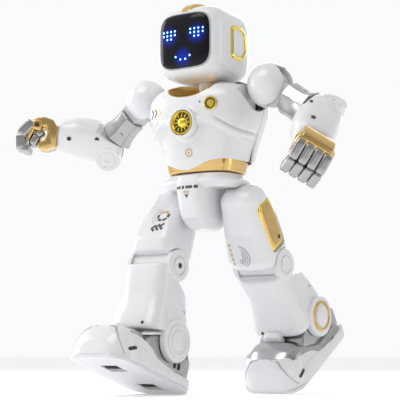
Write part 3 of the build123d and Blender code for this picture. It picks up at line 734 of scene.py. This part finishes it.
# ---------- torso
# (height, x centre, half width, front y, back y, squareness)
TORSO = [
    (31.2, 0, 40.5, -38.0, 26.6, 3.0), (42.0, 0, 43.0, -40.0, 30.0, 3.0), (62.0, 0, 49.0, -43.0, 36.0, 3.0),
    (84.0, 0, 57.0, -46.0, 40.0, 2.9), (104.0, 0, 59.0, -43.0, 40.0, 2.8), (115.0, 0, 53.0, -37.0, 35.0, 2.6),
    (121.5, 0, 36.0, -26.0, 26.0, 2.4),
]
SHOULDER_POCKET = 24.1


def step(x, low, high):
    t = min(max((x - low) / (high - low), 0.0), 1.0)
    return t * t * (3 - 2 * t)


def chest_edge(x):
    """Height of the breastplate's lower edge at a distance from the middle."""
    return 77.5 - 17.0 * step(abs(x), 22.0, 60.0)


def front_relief(v):
    """The breastplate stands proud of the belly, with a groove above its lower edge."""
    x, y, z = v
    out = Vector((x / 57, (y + 3) / 43, 0))
    if out.length < 1e-6:
        return v
    out.normalize()
    ahead = step(-y, -12.0, 2.0)
    edge = chest_edge(x)
    belly = -3.8 * (1 - step(z, edge - 2.2, edge + 0.6))
    groove = -2.2 * step(abs(x), 30.0, 36.0) * math.exp(-((z - edge - 7.0) / 1.2) ** 2)
    lip = 1.2 * math.exp(-((z - edge - 2) / 3.0) ** 2)
    around = math.hypot(x, z - BUTTON_Z)
    boss = 2.0 * step(-y, 20.0, 30.0) * (1 - step(around, 15.0, 19.0)) * (1 if z < edge + 3 else 0.6)
    amount = ahead * (belly + groove + lip) + boss
    return (x + out.x * amount, y + out.y * amount, z)


def make_torso():
    """The breastplate and belly, open at the back, with a pocket for each shoulder, over the gold belt."""
    skin = make("torso_front", *loft(TORSO, 150, 240, (1.5, 5.0), front_relief), "torso", WHITE, angle=50)
    cut(skin, *box_shape(-80, 80, 8.2, 90, 0, 160), "torso")
    # the belly's lower edge dips in front, and the belt shows below it at the sides
    rim = [(x, 43.0 - 10.2 * math.exp(-((x + 5) / 22.0) ** 2)) for x in range(-80, 81, 4)]
    cut(skin, *prism([(-80, 10)] + rim + [(80, 10)], -90, 60, "y"), "torso")
    for sign in (1, -1):
        place = (SHOULDER.x * sign, SHOULDER.y, SHOULDER.z)
        cut(skin, *rod(-24.0, 40.0, SHOULDER_POCKET, place, "x", sign, 64), "torso")
    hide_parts("chest_shell", "abdomen_shell")
    belt_sections = [(30.6, 0, 36.6, -33.4, 25.5, 3.0), (40.0, 0, 38.4, -35.0, 28.4, 3.0),
                     (47.0, 0, 39.4, -35.8, 30.0, 3.0)]
    belt = make("belt_band", *loft(belt_sections, 20, 160, (1.5, 1.0)), "torso", GOLD)
    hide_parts("waist_belt")
    return skin


def make_medallion(skin):
    """The round chest button: gold bezel, fan of vanes and a centre boss, in a white ring."""
    face_y, vane_count, vane_ring = -49.0, 12, 7.3
    centre = (0, face_y, BUTTON_Z)
    ring_white = [(-4, 15.2), (1.2, 15.2), (2.2, 14.6), (2.4, 13.6), (1.6, 12.7), (-3, 12.6)]
    bezel = make("button_ring", *lathe(ring_white, centre, "y", -1, hollow=True), "torso", WHITE)
    cut(skin, *rod(-10.5, 20, 12.5, centre, "y", -1), "torso")
    gold = [(-8, 12.1), (1.0, 12.1), (1.9, 11.6), (2.0, 10.4), (0.6, 9.6), (-0.6, 9.2), (-1.0, 6.0),
            (0.2, 5.2), (1.6, 4.6), (2.6, 3.2), (2.9, 0.4)]
    cap = make("button_cap", *lathe(gold, centre, "y", -1), "chest_button", BRIGHT_GOLD)
    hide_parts("chest_button")
    vanes = []
    for i in range(vane_count):
        a = 2 * math.pi * i / vane_count
        mid = Vector((vane_ring * math.cos(a), face_y - 0.4, BUTTON_Z + vane_ring * math.sin(a)))
        vanes.append(rounded_box(mid, (3.6, 1.5, 0.9), 6.0, 4, Matrix.Rotation(-a, 3, "Y")))
    fan = make("button_vanes", *join_shapes(vanes), "chest_button", BRIGHT_GOLD)
    # a dark floor under the vanes: painted shade in the button's well
    well = lathe([(-2.0, 9.3), (-0.45, 9.3), (-0.45, 4.4)], centre, "y", -1)
    make("button_well", *well, "chest_button", DARK_PRINT_AND_SHADE)
    make_lamp()


def make_lamp():
    """The small gold lamp beside the button, turned with the chest's curve."""
    place, angle = (29.0, -43.4, 95.0), 12
    profile = [(-3, 6.9), (0.6, 6.9), (1.3, 6.3), (1.2, 5.4), (0.3, 5.0), (0.3, 3.8), (1.0, 3.3), (1.3, 0.1)]
    body = turned(lathe(profile, place, "y", -1), place, angle, "Z")
    lamp = make("lamp_rings", *body, "torso", BRIGHT_GOLD)
    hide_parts("chest_lamp")
    # a dark ring in the groove between the lamp's rings: painted shade in the gap
    gap = lathe([(0.0, 5.0), (0.45, 5.0), (0.45, 3.9), (0.0, 3.9)], place, "y", -1, hollow=True)
    make("lamp_gap", *turned(gap, place, angle, "Z"), "torso", DARK_PRINT_AND_SHADE)


def make_marks(skin):
    """Generic prints in place of the toy's own: chevrons and rings; the dark disc for the mic hole is painted
    shade.
    """
    chevrons = []
    for u in (-44, -39, -33.5):
        chevrons.append(stroke([(u, 96), (u + 4, 91.5), (u, 87)], 2.0))
    printed("mark_chest", chevrons[:2], *FRONT, skin, "torso", DARK_PRINT_AND_SHADE)
    printed("mark_chest_bar", chevrons[2:], *FRONT, skin, "torso", PRINT_GOLD)
    ring_and_dot = [stroke(arc(0, 49.5, 3.6, 0, 360), 1.3), disc2d(0, 49.5, 1.1)]
    printed("mark_belly", ring_and_dot, *FRONT, skin, "torso", PRINT_GOLD)
    # a dark disc as painted shade for the mic hole
    printed("mic_hole", [disc2d(17.0, 97.5, 1.0)], *FRONT, skin, "torso", DARK_PRINT_AND_SHADE)


def make_collar(skin):
    """The gold scoop in front of the neck, let into the top of the chest."""
    centre, outer, wall, square, cuts = (0, -34, 121), Vector((57, 48, 36)), 1.6, 2.2, 26
    scoop = rounded_box(centre, outer, square, cuts)
    collar = make("collar_crescent", *loft(TORSO, 60, 160, (1.5, 5.0), front_relief), "torso", GOLD, angle=50)
    cut(collar, *scoop, "torso", operation="INTERSECT")
    inner = outer - Vector((wall, wall, wall))
    cut(collar, *rounded_box(centre, inner, square, cuts), "torso")
    cut(skin, *scoop, "torso")
    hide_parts("collar_trim")


# ---------- pelvis
def make_pelvis():
    """The hip block and the flange over it, with half-round seats for the thighs."""
    flange_sections = [(15.0, 0, 39.5, -33.5, 24, 3.0), (21.5, 0, 44, -37.8, 28, 3.0),
                       (29.8, 0, 37, -32, 24, 3.0)]
    core_sections = [(-25.5, 0, 11.5, -25, 9, 3.4), (-14, 0, 15.4, -33, 17, 3.8),
                     (4, 0, 16.8, -38.2, 23, 4.0), (20, 0, 18.5, -39, 24, 4.0), (28, 0, 18.5, -37, 24, 4.0)]
    pelvis = make("pelvis_skin", *loft(flange_sections, 24, 160, (1.6, 1.6)), "pelvis", WHITE)
    cut(pelvis, *loft(core_sections, 44, 96, (6.0, 2.0)), "pelvis", operation="UNION")
    seat_x, seat_radius = 17.7, 17.9
    for sign in (1, -1):
        cut(pelvis, *rod(0, 60, seat_radius, (sign * seat_x, 0, 0), "x", sign, 96), "pelvis")
    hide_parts("pelvis_shell")
    bars = [stroke([(x, 15.5), (x + w, 15.5)], 3.0) for x, w in ((-13, 6), (-5.5, 3), (-1, 8), (8.5, 4))]
    printed("mark_hip_bars", bars, *FRONT, pelvis, "pelvis", DARK_PRINT_AND_SHADE)
    point = ([(-2.6, 8.4), (2.6, 8.4), (0, 4.6)], [(0, 1, 2)])
    printed("mark_hip_point", [point], *FRONT, pelvis, "pelvis", DARK_PRINT_AND_SHADE)
    lines = [stroke([(-3.8, v), (3.8, v)], 1.0) for v in (9.8, 11.4)]
    printed("mark_hip_arrow", lines, *FRONT, pelvis, "pelvis", PRINT_GOLD)
    printed("hip_recess", [stroke([(-3, -17), (3, -17)], 4.4)], *FRONT, pelvis, "pelvis", SOLE)


# ---------- arms
def octagon_bar(sections, centre):
    """A bar with eight flat sides from (height, half width, half depth) sections."""
    corner = 0.45
    plan = [(1, -corner), (1, corner), (corner, 1), (-corner, 1), (-1, corner), (-1, -corner), (-corner, -1),
            (corner, -1)]
    verts = []
    for z, half_x, half_y in sections:
        verts += [(centre.x + x * half_x, centre.y + y * half_y, centre.z + z) for x, y in plan]
    count = len(plan)
    ends = [tuple(reversed(range(count))), tuple(range(len(verts) - count, len(verts)))]
    return verts, grid_faces(len(sections), count, True) + ends


def make_arm(side, sign):
    """The faceted sleeve and its tongue into the elbow, then the forearm and hand."""
    body = f"upper_arm_{side}"
    sections = [(-51.8, 18.6, 17.0), (-50.0, 18.4, 16.8), (-44.0, 16.2, 14.6), (-34.0, 15.2, 13.6),
                (-24.2, 15.6, 14.0)]
    sleeve = make(f"sleeve_{side}", *octagon_bar(sections, SHOULDER), body, SILVER, sign, soft=False)
    soften(sleeve, 0.7, 2, 60)
    half, radius = 7.8, 11.0
    tongue = join_shapes([
        rod(-half, half, radius, ELBOW),
        box_shape(ELBOW.x - half, ELBOW.x + half, ELBOW.y - 9, ELBOW.y + 4, ELBOW.z, SHOULDER.z - 50),
    ])
    neck = make(f"elbow_tongue_{side}", *tongue, body, DARK, sign)
    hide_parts(f"upper_arm_sleeve_{side}")
    # the holes' dark is painted shade
    make(f"sleeve_holes_{side}", *side_holes(SHOULDER - Vector((0, 0, 42)), 15.9), body, DARK, sign)
    make_forearm(side, sign)
    make_hand(side, sign)


def make_forearm(side, sign):
    """The white shell, cut out round the sleeve's end and the tongue, with its elbow discs."""
    x, y, z = ELBOW
    body = f"forearm_{side}"
    sections = [
        (z - 57.5, x, 13.5, y - 22.5, y + 6.5, 2.4), (z - 52, x, 15.8, y - 27, y + 8.5, 2.5),
        (z - 38, x, 18.8, y - 31.5, y + 11, 2.6), (z - 18, x, 20.4, y - 32, y + 13, 2.6),
        (z - 2, x, 20.6, y - 29.5, y + 13.5, 2.7), (z + 13, x, 20.2, y - 22, y + 12.5, 2.7),
    ]
    arm = make(f"forearm_{side}", *loft(sections, 60, 96, (4.0, 7.0)), body, WHITE, sign)
    sleeve_path = [(13, 18.3)] + arc(0, 0, 18.3, 90, 160, 14)
    sleeve_path += [(-25.6, -16.8), (-60, -4), (-60, 60), (13, 60)]
    tongue_path = [(12.4, 60)] + arc(0, 0, 12.4, 0, -112, 22) + [(-60, 11), (-60, 60)]
    sleeve_half, tongue_half = 18.9, 8.6
    cut(arm, *prism(sleeve_path, -sleeve_half, sleeve_half, "x", ELBOW), body, sign)
    cut(arm, *prism(tongue_path, -tongue_half, tongue_half, "x", ELBOW), body, sign)
    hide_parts(f"forearm_shell_{side}")
    disc_profile = [(-8, 13.2), (1.2, 13.2), (2.0, 12.4), (2.0, 9.0), (1.5, 8.6), (1.5, 8.0), (2.2, 7.6),
                    (2.4, 3.0), (1.6, 2.6), (1.5, 0.1)]
    disc = make(f"elbow_discs_{side}", *side_discs(disc_profile, ELBOW, sleeve_half), body, WHITE, sign)
    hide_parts(f"elbow_pin_{side}")
    holes = [side_holes((x, y - 20, z - 14), 19.6, 1.9), side_holes((x, y - 15, z - 43), 18.3, 1.9)]
    # the holes' dark is painted shade
    make(f"forearm_holes_{side}", *join_shapes(holes), body, DARK, sign)


def make_hand(side, sign):
    """The notched palm and knuckle bar, four curled fingers and the thumb in the notch."""
    body = f"hand_{side}"
    x, y, z = WRIST
    outline = [(-12, 1), (7, 1), (15, -6), (16.5, -15), (15, -24), (8, -29), (-3, -31), (-14, -27),
               (-18, -18), (-17, -8)]
    notch = [(-30, -17), (-9, -16), (-7, -11), (1, -9.5), (6, -13), (5, -21), (-3, -25), (-30, -33)]
    palm = make(f"palm_{side}", *prism(outline, -16, 16, "y", (x, y, z)), body, GOLD, sign, soft=False)
    cut(palm, *prism(notch, -30, 30, "y", (x, y, z)), body, sign)
    soften(palm, 1.6, 3, 30)
    bar_x, bar_z, pitch = x + 6.5, z - 21.5, 9.2
    bar_shape = rounded_box((bar_x, y, bar_z), (13, 38.5, 12.5), 5.0, 14)
    knuckles = make(f"knuckle_bar_{side}", *bar_shape, body, GOLD, sign)
    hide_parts(f"hand_palm_{side}")
    cuff = lathe([(-3, 10.5), (0.5, 11.5), (4, 11.5), (5, 9)], (x, y, z - 1), "z")
    wrist = make(f"wrist_collar_{side}", *cuff, body, DARK, sign)
    # dark U lines on the knuckle bar: painted shade standing in for engraved grooves
    marks = []
    half = 2.4
    for i in range(4):
        u = (i - 1.5) * 8.9
        bend = arc(u, -0.8, half, 180, 360, 10)
        marks.append(stroke([(u - half, 2.8), (u - half, -0.8)] + bend + [(u + half, 2.8)], 1.0))
    printed(f"knuckle_marks_{side}", marks, (x, y, bar_z), (0, 1, 0), (0, 0, 1), knuckles, body,
            DARK_PRINT_AND_SHADE, sign, 0.1)
    bones = []
    for i in range(4):
        v = y + (i - 1.5) * pitch
        bones.append(bone((x + 9.5, v, z - 27), (x - 7, v, z - 38), 8.9, 10.5, 5.5))
        bones.append(bone((x - 5.5, v, z - 37.5), (x - 22, v, z - 34), 8.7, 10.0, 5.5))
        bones.append(bone((x - 19.5, v, z - 34.5), (x - 19, v, z - 25.5), 8.2, 8.0, 5.5))
    fingers = make(f"fingers_{side}", *join_shapes(bones), body, SILVER, sign)
    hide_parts(f"hand_fingers_{side}")
    thumb_bones = [bone((x + 2, y - 6, z - 14.5), (x - 4, y - 6, z - 21), 19, 8.5, 4.0),
                   bone((x - 3, y - 6, z - 19.5), (x - 16, y - 6, z - 24.5), 19.5, 9.5, 4.0)]
    thumb = make(f"thumb_{side}", *join_shapes(thumb_bones), body, SILVER, sign)
    # the hole's dark is painted shade
    make(f"palm_hole_{side}", *screw_hole((bar_x, y - 19.3, bar_z), "y", -1, 1.9), body, DARK, sign)


# ---------- legs
def make_thigh(side, sign):
    """The thigh shell with its gold side plate, and the barrel of the knee."""
    body, x = f"thigh_{side}", LEG_X
    sections = [
        (-64.0, x + 0.8, 24.2, -22.5, 18, 4.2), (-52, x + 0.8, 25.4, -26.5, 21, 4.4),
        (-24, x + 3.0, 23.4, -24, 21, 4.4), (-6, x + 3.6, 22.2, -18.8, 18.6, 4.0),
        (4, x + 3.9, 21.4, -16.8, 16.8, 3.6), (16.6, x + 4.2, 20.6, -15.8, 15.8, 3.2),
    ]
    shell = make(f"thigh_{side}", *loft(sections, 70, 120, (3.0, 10.0)), body, WHITE, sign)
    cut(shell, *rounded_box((x + 27.8, 1.2, -26), (14, 28, 52), 6.0, 16), body, sign)
    pocket_x, pocket_radius = 21.7, 17.0
    for flip in (1, -1):
        cut(shell, *rod(pocket_x, 40, pocket_radius, KNEE, "x", flip, 72), body, sign)
    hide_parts(f"thigh_shell_{side}")
    plate_shape = rounded_box((x + 22.9, 1.2, -26), (7.2, 23.4, 47.6), 5.0, 18)
    plate = make(f"thigh_plate_{side}", *plate_shape, body, GOLD, sign)
    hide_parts(f"thigh_trim_{side}")
    rim_shape = rounded_box((x + 22.4, 1.2, -26), (6.6, 26.8, 50.8), 5.0, 18)
    rim = make(f"thigh_plate_rim_{side}", *rim_shape, body, BRIGHT_GOLD, sign)
    half, radius = 21.2, 13.4
    neck = join_shapes([rod(-half, half, radius, KNEE), box_shape(x - 19, x + 19, -12, 12, -70, -56)])
    barrel = make(f"knee_barrel_{side}", *neck, body, WHITE, sign)
    # the hole's dark is painted shade
    hole = make(f"thigh_plate_hole_{side}", *screw_hole((x + 26.45, 5, -41), "x", 1, 1.8), body, DARK, sign)
    make_thigh_marks(side, sign, shell)


def make_thigh_marks(side, sign, shell):
    """Arcs and dashes on the left thigh, a broken ring over chevrons on the right."""
    body = f"thigh_{side}"
    front = ((LEG_X, -60, 0), (1, 0, 0), (0, 0, 1))
    if sign > 0:
        # (radius, start, end, width)
        bands = ((11.5, -75, 80, 1.3), (9.2, -90, 70, 1.0), (6.8, -100, 60, 1.4), (4.2, -110, 50, 1.6))
        rings = [stroke(arc(-4, -45, radius, start, end), width) for radius, start, end, width in bands]
        printed(f"mark_arcs_{side}", rings, *front, shell, body, GREY)
        dashes = [stroke([(-13, -31 - 5.0 * i), (-13, -34 - 5.0 * i)], 2.6) for i in range(5)]
        printed(f"mark_dashes_{side}", dashes, *front, shell, body, PRINT_GOLD)
        return
    cx, cy = -6, -26
    ring_parts = [stroke(arc(cx, cy, 5.8, 30 + 60 * i, 80 + 60 * i, 6), 2.9) for i in range(6)]
    chevrons = []
    for i in range(3):
        u, v = -12 + 4.6 * i, -36 - i
        chevrons.append(stroke([(u, v), (u + 4, v - 3.8), (u, v - 7.6)], 2.6))
    printed(f"mark_ring_{side}", ring_parts[2:] + chevrons, *front, shell, body, DARK_PRINT_AND_SHADE, sign)
    printed(f"mark_ring_gold_{side}", ring_parts[:2], *front, shell, body, PRINT_GOLD, sign)
    arcs = [stroke(arc(cx, cy, radius, -60, 60), 0.7) for radius in (9.5, 12.0)]
    printed(f"mark_ring_arcs_{side}", arcs, *front, shell, body, GREY, sign)


def make_shank(side, sign):
    """The lower leg: its shell cut clear of the knee, with the knee's and ankle's discs."""
    body, x, top = f"shank_{side}", LEG_X, -THIGH_LEN
    sections = [
        (top - 67.5, x, 32.6, -36, 23, 4.4), (top - 60, x, 32.0, -34.5, 24, 4.4),
        (top - 46, x, 29.2, -29, 25, 4.4), (top - 30, x, 26.6, -25, 24, 4.4),
        (top - 1.0, x, 26.0, -23.5, 22, 4.4),
    ]
    shell = make(f"shank_{side}", *loft(sections, 60, 140, (2.5, 3.0)), body, WHITE, sign)
    half, radius = 21.9, 14.2
    cut(shell, *rod(-half, half, radius, KNEE), body, sign)
    # the rear top is cut away on a slope, so that the knee can bend
    verts, faces = box_shape(-60, 60, 0, 60, -8, 40)
    slope = Matrix.Translation((x, 1, top - 5)) @ Matrix.Rotation(math.radians(-38), 4, "X")
    cut(shell, [tuple(slope @ Vector(v)) for v in verts], faces, body, sign)
    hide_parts(f"shank_shell_{side}")
    rim_profile = [(-6, 21.0), (-1.4, 21.0), (-0.2, 20.0), (0, 18.6), (0, 15.6), (0.4, 15.2), (0.4, 10.0)]
    ring_profile = [(0, 15.6), (1.2, 15.4), (1.5, 14.6), (1.3, 12.6), (0.3, 12.2)]
    dome_profile = [(0, 12.2), (0.3, 10.6), (1.3, 10.0), (1.9, 6.0), (2.0, 0.2)]
    knee_profile = [(-5.2, 16.0), (-1.2, 16.0), (-0.2, 15.1), (0.0, 14.0), (0.0, 9.8), (-1.2, 9.5),
                    (-1.2, 8.5), (0.5, 7.8), (0.6, 3.0), (0.5, 0.1)]
    knee_face, ankle_face = 27.0, 34.0
    discs = [side_discs(knee_profile, KNEE, knee_face), side_discs(rim_profile, ANKLE, ankle_face)]
    caps = make(f"leg_discs_{side}", *join_shapes(discs), body, WHITE, sign)
    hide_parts(f"knee_pin_{side}", f"ankle_pin_{side}")
    hoop = make(f"ankle_rings_{side}", *side_discs(ring_profile, ANKLE, ankle_face), body,
                GOLD if sign > 0 else WHITE, sign)
    dome = make(f"ankle_domes_{side}", *side_discs(dome_profile, ANKLE, ankle_face), body, WHITE, sign)
    holes = []
    if sign > 0:
        block_shape = rounded_box((x - 3, -38.5, ANKLE.z + 7), (20, 8, 17), 5.0, 10)
        block = make("ankle_block_left", *block_shape, body, WHITE)
    else:
        holes.append(side_holes(KNEE, knee_face + 0.7, 2.4))
    holes.append(side_holes((x, 12, top - 45), 28.4))
    holes.append(screw_hole((x - 16, -35.2, top - 62), "y", -1, 1.3))
    # the holes' dark is painted shade
    make(f"leg_holes_{side}", *join_shapes(holes), body, DARK, sign)


# ---------- feet
FOOT_HALF = 35.0
TOE_Y, HEEL_Y = -80.0, 39.0
TOE_ROUND, HEEL_ROUND = 30.0, 17.0
# height of the foot's upper face along its length, from the toe to the heel
FOOT_TOP = [(-80, 17.0), (-76, 27.0), (-68, 33.5), (-56, 37.0), (-44, 38.0), (-36, 36.5), (-28, 31.0),
            (-18, 25.0), (-4, 22.5), (12, 22.0), (26, 23.5), (34, 22.5), (39, 17.0)]
# the same for the silver upper inside the white cap
UPPER_TOP = [(-80, 14), (-68, 31.0), (-58, 35.0), (-46, 36.5), (-38, 33.0), (-26, 26.5), (-16, 20.0),
             (0, 16.0), (30, 16.0), (39, 12)]
# side outline of the silver saddle round the ankle
SADDLE = [(-38, -36), (-38, -14), (-33, -6.5), (-24, -1.5), (-16, 1.5), (-7, 4.0), (7, 4.0), (13, -0.5),
          (27, -0.5), (35, -12), (35, -36)]


def taper(t, floor, square):
    """1 where t is 0, falling on a superellipse to floor where t reaches 1."""
    if t >= 1:
        return floor
    return floor + (1 - floor) * (1 - t ** square) ** (1 / square)


def foot_point(y, angle, grow=0.0, tops=FOOT_TOP):
    """A point of the foot's skin in the ankle's frame; angle 0 is the sole's edge and 90 the top."""
    height = float(np.interp(y, [p[0] for p in tops], [p[1] for p in tops]))
    half = FOOT_HALF
    toe = (TOE_Y + TOE_ROUND - y) / TOE_ROUND
    heel = (y - HEEL_Y + HEEL_ROUND) / HEEL_ROUND
    if toe > 0:
        half *= taper(toe, 0.30, 2.4)
        height *= taper(toe, 0.72, 2.4)
    if heel > 0:
        half *= taper(heel, 0.45, 2.2)
    a = math.radians(angle)
    px = power(math.cos(a), 2 / 3.4)
    pz = power(math.sin(a), 2 / 2.6)
    return ((half + grow) * px, y, SOLE_Z + (height + grow) * pz)


def cap_end(angle):
    """Where the white shell ends, for each angle round the foot: low down it runs back to the heel."""
    if angle < 16:
        return HEEL_Y
    back = HEEL_Y - (HEEL_Y + 28) * step(angle, 13, 19)
    wave = -36.0 * step(angle, 19, 44) - 6.0 * step(angle, 48, 78)
    return back + wave


def foot_skin(ends, grow, closed, tops):
    """The foot's skin from the toe to where ends(angle) says; closed adds the sole and both ends."""
    verts, rows = [], 70
    front = TOE_Y + (2.5 if closed else 0.0)
    angles = [a * 2.0 for a in range(0, 46)]
    angles += [180 - a for a in reversed(angles[:-1])]
    cols = len(angles)
    for i in range(rows + 1):
        for a in angles:
            y = front + (ends(min(a, 180 - a)) - front) * (i / rows) ** 1.25
            verts.append(tuple(Vector(foot_point(y, a, grow, tops)) + ANKLE))
    faces = grid_faces(rows + 1, cols, closed)
    faces.append(tuple(range(cols)))
    if closed:
        faces.append(tuple(reversed(range(rows * cols, (rows + 1) * cols))))
    return verts, faces


def make_foot(side, sign):
    """The white cap over the silver upper and saddle, with slots, seams and side ovals."""
    body = f"foot_{side}"
    shell = make(f"foot_cap_{side}", *foot_skin(cap_end, 0.9, False, FOOT_TOP), body, WHITE, sign)
    shell.modifiers.remove(shell.modifiers["edges"])
    thick = shell.modifiers.new("thick", "SOLIDIFY")
    thick.thickness = 1.6 * MM
    thick.offset = -1
    smooth(shell, 45)
    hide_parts(f"foot_shell_{side}")
    upper = foot_skin(lambda _: HEEL_Y - 0.9, -0.5, True, UPPER_TOP)
    floor = make(f"foot_floor_{side}", *upper, body, SILVER, sign)
    saddle = make(f"foot_saddle_{side}", *prism(SADDLE, -27.2, 27.2, "x", ANKLE), body, SILVER, sign,
                  soft=False)
    soften(saddle, 2.5, 4, 40)
    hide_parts(f"foot_insert_{side}")
    slots = []
    for flip in (1, -1):
        for y in (11, 17.5):
            slots.append(rounded_box(ANKLE + Vector((27.5 * flip, y, -20)), (1.4, 2.8, 7.0), 4.0, 6))
    vents = make(f"heel_slots_{side}", *join_shapes(slots), body, DARK, sign)
    for flip in (1, -1):
        side_view = (ANKLE + Vector((10 * flip, 0, SOLE_Z)), (0, flip, 0), (0, 0, 1))
        seam = [(-70, 31), (-74, 24), (-75, 17), (-73.5, 10), (-70, 3)]
        line = stroke([(u * flip, v) for u, v in seam], 0.7)
        printed(f"foot_seam_{side}_{flip}", [line], *side_view, shell, body, GREY, sign)
        # dark ovals on the shoe's sides: painted shade in place of its side slots
        ends = ((-66 * flip, 9.5), (-60 * flip, 12.5))
        oval = [stroke(ends, 3.4)] + [disc2d(u, v, 1.7) for u, v in ends]
        printed(f"foot_slot_{side}_{flip}", oval, *side_view, shell, body, DARK, sign)


make_head()
torso = make_torso()
make_medallion(torso)
make_marks(torso)
make_collar(torso)
make_pelvis()
for side_name, side_sign in SIDES:
    make_arm(side_name, side_sign)
    make_thigh(side_name, side_sign)
    make_shank(side_name, side_sign)
    make_foot(side_name, side_sign)
